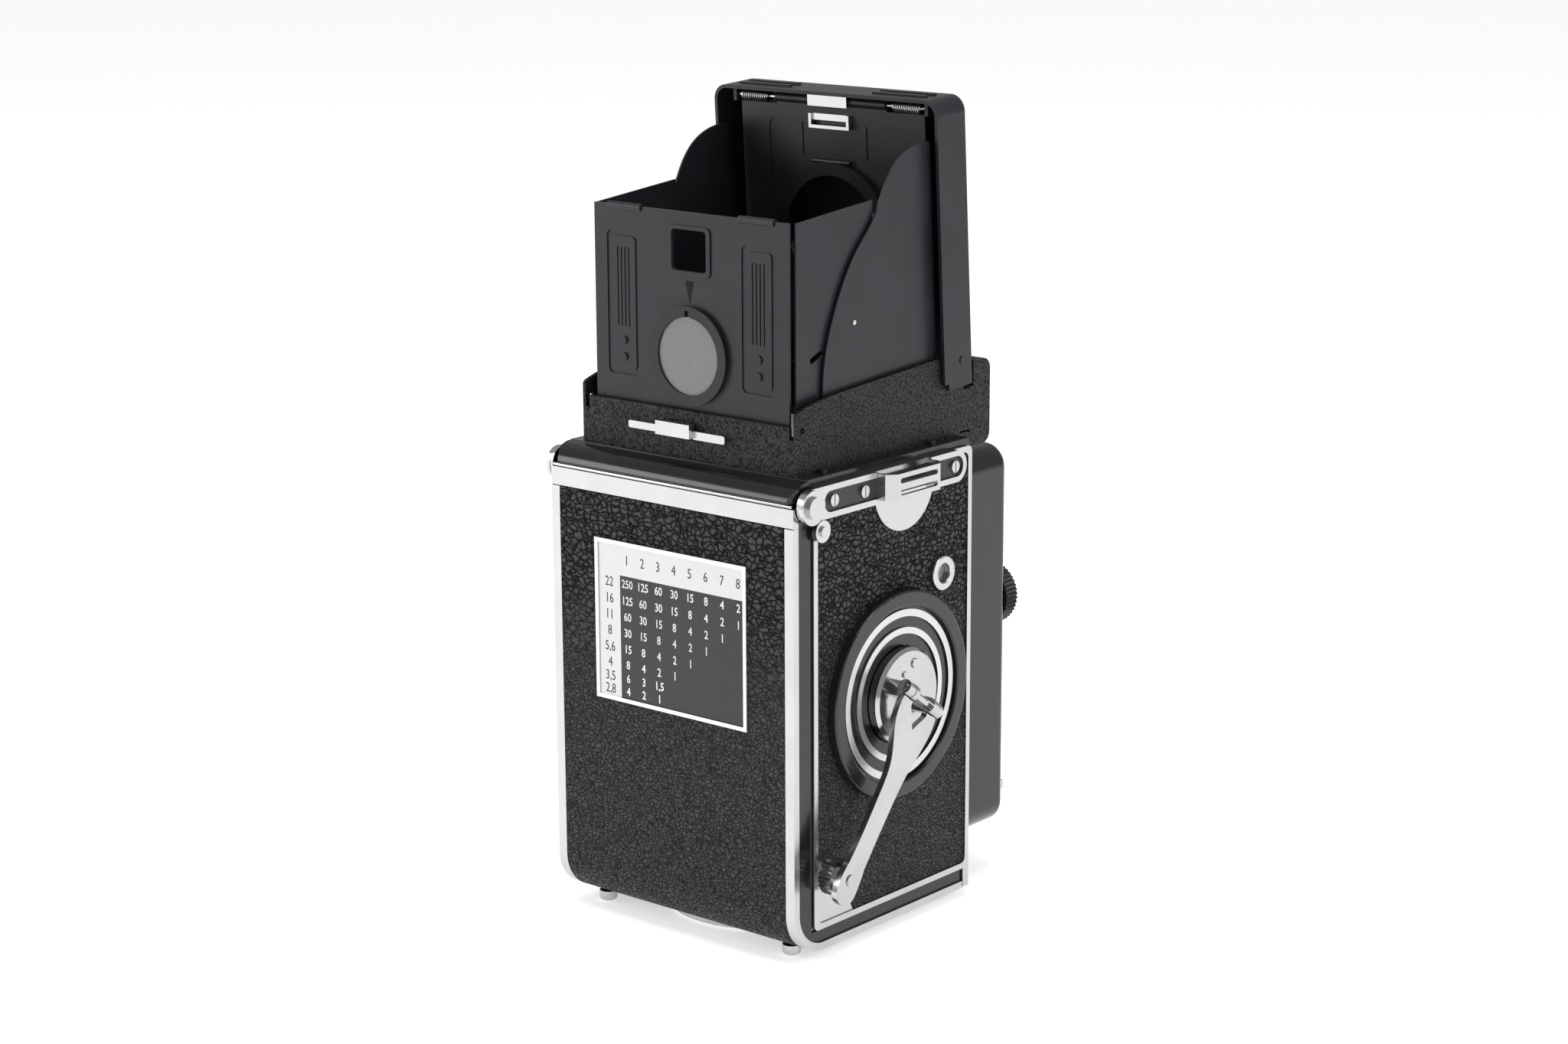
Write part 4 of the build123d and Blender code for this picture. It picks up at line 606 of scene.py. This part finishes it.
@dataclass
class Lettering:
    """Numbers gathered into one flat raised mesh."""

    size: float
    width: float = 0.85
    weight: float = 0.0
    half_thickness: float = 0.03
    points: list = field(default_factory=list)
    faces: list = field(default_factory=list)
    count: int = 0

    def write(self, text: str, across: float, up: float, place: Matrix) -> None:
        """Add one number.

        Args:
            text: the digits.
            across: centre along the line of writing, in millimetres.
            up: centre across it.
            place: turns the writing plane into the camera's frame.
        """
        curve = bpy.data.curves.new("digits", "FONT")
        curve.body, curve.size = text, self.size
        curve.offset, curve.extrude = self.weight, self.half_thickness
        curve.align_x, curve.align_y, curve.resolution_u = "CENTER", "CENTER", 3
        holder = bpy.data.objects.new("digits", curve)
        bpy.context.scene.collection.objects.link(holder)
        mesh = holder.to_mesh()
        flat = np.empty(len(mesh.vertices) * 3)
        mesh.vertices.foreach_get("co", flat)
        flat = flat.reshape(-1, 3) * (self.width, 1, 1) + (across, up, 0)
        turn = np.array(place)
        self.points.append(flat @ turn[:3, :3].T + turn[:3, 3])
        self.faces += [[v + self.count for v in p.vertices] for p in mesh.polygons]
        self.count += len(mesh.vertices)
        holder.to_mesh_clear()
        bpy.data.objects.remove(holder)
        bpy.data.curves.remove(curve)

    def make(self, name: str, surface: Surface, body: str) -> None:
        """Make one piece of all the numbers written so far."""
        piece(name, np.vstack(self.points), self.faces, surface, body, False)


def facing_back(y: float) -> Matrix:
    """Writing plane that looks rearward at a given y."""
    return Matrix.Translation((0, y, 0)) @ Matrix.Rotation(math.pi / 2, 4, "X")


# ---------------------------------------------------------------- sub-assemblies
@dataclass
class ExposureTable:
    """Numbers of the table on the back: shutter times against scene value and stop."""

    first: float = -14.0
    pitch: float = 5.13
    times_shift: float = 0.1
    header_z: float = 90.9
    stop_x: float = -19.9
    face_y: float = -35.11
    rows: tuple[float, ...] = (84.9, 80.7, 76.6, 72.5, 68.4, 64.4, 60.9, 57.6)
    stops: tuple[str, ...] = ("22", "16", "11", "8", "5,6", "4", "3,5", "2,8")
    times: tuple[str, ...] = ("250", "125", "60", "30", "15", "8", "4", "2", "1")
    half_steps: tuple[tuple[str, ...], ...] = (("6", "3", "1,5"), ("4", "2", "1"))

    def row_text(self, index: int) -> tuple[str, ...]:
        """Times of one row; the last rows are half steps."""
        full = len(self.rows) - len(self.half_steps)
        return self.times[index:index + len(self.rows)] if index < full else self.half_steps[index - full]

    def build(self) -> None:
        """Write header and stops in dark ink and times in white."""
        place = facing_back(self.face_y)
        dark = Lettering(size=3.5, width=0.8, weight=-0.008)
        small = Lettering(size=2.95, width=0.84, weight=0.035)
        for i, (stop, height) in enumerate(zip(self.stops, self.rows)):
            dark.write(str(i + 1), self.first + self.pitch * i, self.header_z, place)
            dark.write(stop, self.stop_x, height, place)
            for k, text in enumerate(self.row_text(i)):
                small.write(text, self.first + self.pitch * k + self.times_shift, height, place)
        dark.make("table_stops", Surface.BLACK_INK, "back")
        small.make("table_times", Surface.WHITE_INK, "back")


@dataclass
class HoodSprings:
    """Wire coils round the finder flap's rod, near both sides of the lid."""

    radius: float = 1.42
    wire: float = 0.2
    wire_sides: int = 6
    turns: int = 12
    steps: int = 18
    inner: float = 20.2
    outer: float = 28.2

    def build(self) -> None:
        """A coil is x rising evenly while y and z go round the rod's axis."""
        joint = next(j for j in frame["joints"] if j["name"] == "finder_flap_swing")
        _, y0, z0 = (c / MM for c in joint["pos_m"])
        t = np.linspace(0, 1, self.turns * self.steps + 1)
        angle = 2 * math.pi * self.turns * t
        y, z = y0 + self.radius * np.cos(angle), z0 + self.radius * np.sin(angle)
        for word, side in (("right", 1), ("left", -1)):
            path = np.stack([side * (self.inner + (self.outer - self.inner) * t), y, z], 1)
            points, faces = tube(path, self.wire, self.wire_sides)
            faces = faces if side < 0 else [f[::-1] for f in faces]
            piece(f"flap_spring_{word}", points, faces, Surface.STEEL, "lid")


@dataclass
class CrankScrews:
    """Two screws of different size with rounded rims, on the crank's hub."""

    face_x: float = 42.6
    side: float = 0.3
    rim: float = 0.16
    top: float = 0.47
    middle: float = 0.02
    flat_share: float = 0.3
    rim_steps: int = 7
    sides: int = 28
    places: tuple[tuple[float, float, float], ...] = ((6.9, 66.0, 1.25), (2.9, 63.9, 0.8))

    def build(self) -> None:
        """Each head is a flat cap with a rounded rim, turned about its axis."""
        for i, (y, z, r) in enumerate(self.places):
            turn = np.linspace(0, math.pi / 2, self.rim_steps)
            rim = [(self.side + self.rim * math.sin(v), r - self.rim + self.rim * math.cos(v)) for v in turn]
            crown = [(self.top, self.flat_share * r), (self.top, self.middle)]
            points, faces = turned([(0.0, r), *rim, *crown], self.sides)
            points += (self.face_x, y, z)
            piece(f"hub_screw_{i + 1}", points, faces, Surface.STEEL, "crank_hub")


@dataclass
class CounterDigits:
    """Frame numbers 1 to 12 round the counter's dial."""

    centre: tuple[float, float] = (22.4, 85.2)
    radius: float = 3.9
    face_x: float = 37.24
    frames: int = 12

    def build(self) -> None:
        """Each number stands at its own share of the turn."""
        y, z = self.centre
        plane = Matrix(((0, 0, 1, self.face_x), (1, 0, 0, y), (0, 1, 0, z), (0, 0, 0, 1)))
        ink = Lettering(size=1.3, width=0.8, weight=0.01)
        for i in range(self.frames):
            angle = -2 * math.pi * i / self.frames
            ink.write(str(i + 1), 0.0, self.radius, plane @ Matrix.Rotation(angle, 4, "Z"))
        ink.make("counter_numbers", Surface.WHITE_INK, "counter_dial")


@dataclass
class SightArrow:
    """Black arrow between the rear panel's window and its eyepiece."""

    half: float = 1.4
    top: float = 160.3
    tip: float = 154.6
    face_y: float = -26.52
    thickness: float = 0.03

    def build(self) -> None:
        """Two equal triangles, one behind the other, joined round their edge."""
        corners = np.array([(-self.half, self.top), (self.half, self.top), (0.0, self.tip)])
        layers = [np.insert(corners, 1, y, axis=1) for y in (self.face_y, self.face_y + self.thickness)]
        faces = [[0, 2, 1], [3, 4, 5], [0, 1, 4, 3], [1, 2, 5, 4], [2, 0, 3, 5]]
        piece("sight_arrow", np.vstack(layers), faces, Surface.ARROW, "rear_panel", False)


# ---------------------------------------------------------------- studio
@dataclass
class Studio:
    """Pale floor, soft boxes, sky and the viewing camera.

    Places are in metres, the roll in degrees, and lens and sensor in millimetres.
    """

    eye: tuple[float, float, float] = (0.50454, -0.59234, 0.28171)
    aim: tuple[float, float, float] = (0.00678, 0.0, 0.09738)
    roll: float = -0.24
    lens: float = 73.7
    sensor: float = 36.0
    nearest: float = 0.01
    farthest: float = 50.0
    floor_half: float = 4000 * MM
    floor_gap: float = 0.05 * MM
    floor_glow: float = 0.55
    sky_light: float = 0.42
    lit_point: tuple[float, float, float] = (0.0, 0.0, 0.1)
    boxes: tuple = (
        ("top_box", (0.0, -0.1, 1.3), (0.9, 0.7), 9.0),
        ("left_box", (-1.1, -0.9, 0.6), (0.5, 1.0), 7.0),
        ("right_box", (1.2, 0.25, 0.5), (0.45, 0.9), 5.0),
    )

    def floor_finish(self) -> bpy.types.Material:
        """Nearly white paper that glows a little."""
        sheet = Sheet("pale_floor")
        colour = sheet.blend(sheet.noise(0.02, 2.0), (0.9, 0.9, 0.905), (0.92, 0.92, 0.92))
        return sheet.done(Base_Color=colour, Roughness=0.6, Emission_Color=WHITE,
                          Emission_Strength=self.floor_glow)

    def floor(self) -> None:
        """Square floor under the feet."""
        half, z = self.floor_half, CAD_BOX[0][2] - self.floor_gap
        points = [(-half, -half, z), (half, -half, z), (half, half, z), (-half, half, z)]
        mesh = bpy.data.meshes.new("floor")
        mesh.from_pydata(points, [], [[0, 1, 2, 3]])
        mesh.materials.append(self.floor_finish())
        ground = bpy.data.objects.new("floor", mesh)
        bpy.context.scene.collection.objects.link(ground)

    def softbox(self, name: str, place: Sequence[float], size: tuple[float, float], power: float) -> None:
        """Rectangular area light aimed at the middle of the object."""
        data = bpy.data.lights.new(name, "AREA")
        data.shape, data.size, data.size_y, data.energy = "RECTANGLE", size[0], size[1], power
        lamp = bpy.data.objects.new(name, data)
        lamp.location = place
        lamp.rotation_euler = (Vector(self.lit_point) - Vector(place)).to_track_quat("-Z", "Y").to_euler()
        bpy.context.scene.collection.objects.link(lamp)

    def sky(self) -> None:
        """Even white light from all round."""
        world = bpy.data.worlds.new("sky")
        world.use_nodes = True
        background = world.node_tree.nodes["Background"]
        background.inputs["Color"].default_value = (*WHITE, 1.0)
        background.inputs["Strength"].default_value = self.sky_light
        bpy.context.scene.world = world
        bpy.context.scene.view_settings.view_transform = "Standard"

    def viewer(self) -> None:
        """Camera at the eye, looking at the aim and rolled about its own axis."""
        data = bpy.data.cameras.new("viewer")
        data.lens, data.sensor_width = self.lens, self.sensor
        data.clip_start, data.clip_end = self.nearest, self.farthest
        viewer = bpy.data.objects.new("viewer", data)
        look = (Vector(self.aim) - Vector(self.eye)).to_track_quat("-Z", "Y").to_matrix().to_4x4()
        roll = Matrix.Rotation(math.radians(self.roll), 4, "Z")
        viewer.matrix_world = Matrix.Translation(self.eye) @ look @ roll
        bpy.context.scene.collection.objects.link(viewer)
        bpy.context.scene.camera = viewer

    def build(self) -> None:
        """Set floor, lights, sky and camera."""
        self.floor()
        for box in self.boxes:
            self.softbox(*box)
        self.sky()
        self.viewer()


def main() -> None:
    """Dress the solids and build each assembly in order."""
    logging.basicConfig(level=logging.INFO, format="%(name)s: %(message)s")
    dress_nodes()
    for assembly in (ExposureTable(), HoodSprings(), CrankScrews(), CounterDigits(), SightArrow(), Studio()):
        assembly.build()
        LOG.info("finished %s", type(assembly).__name__)


if __name__ == "__main__":
    main()
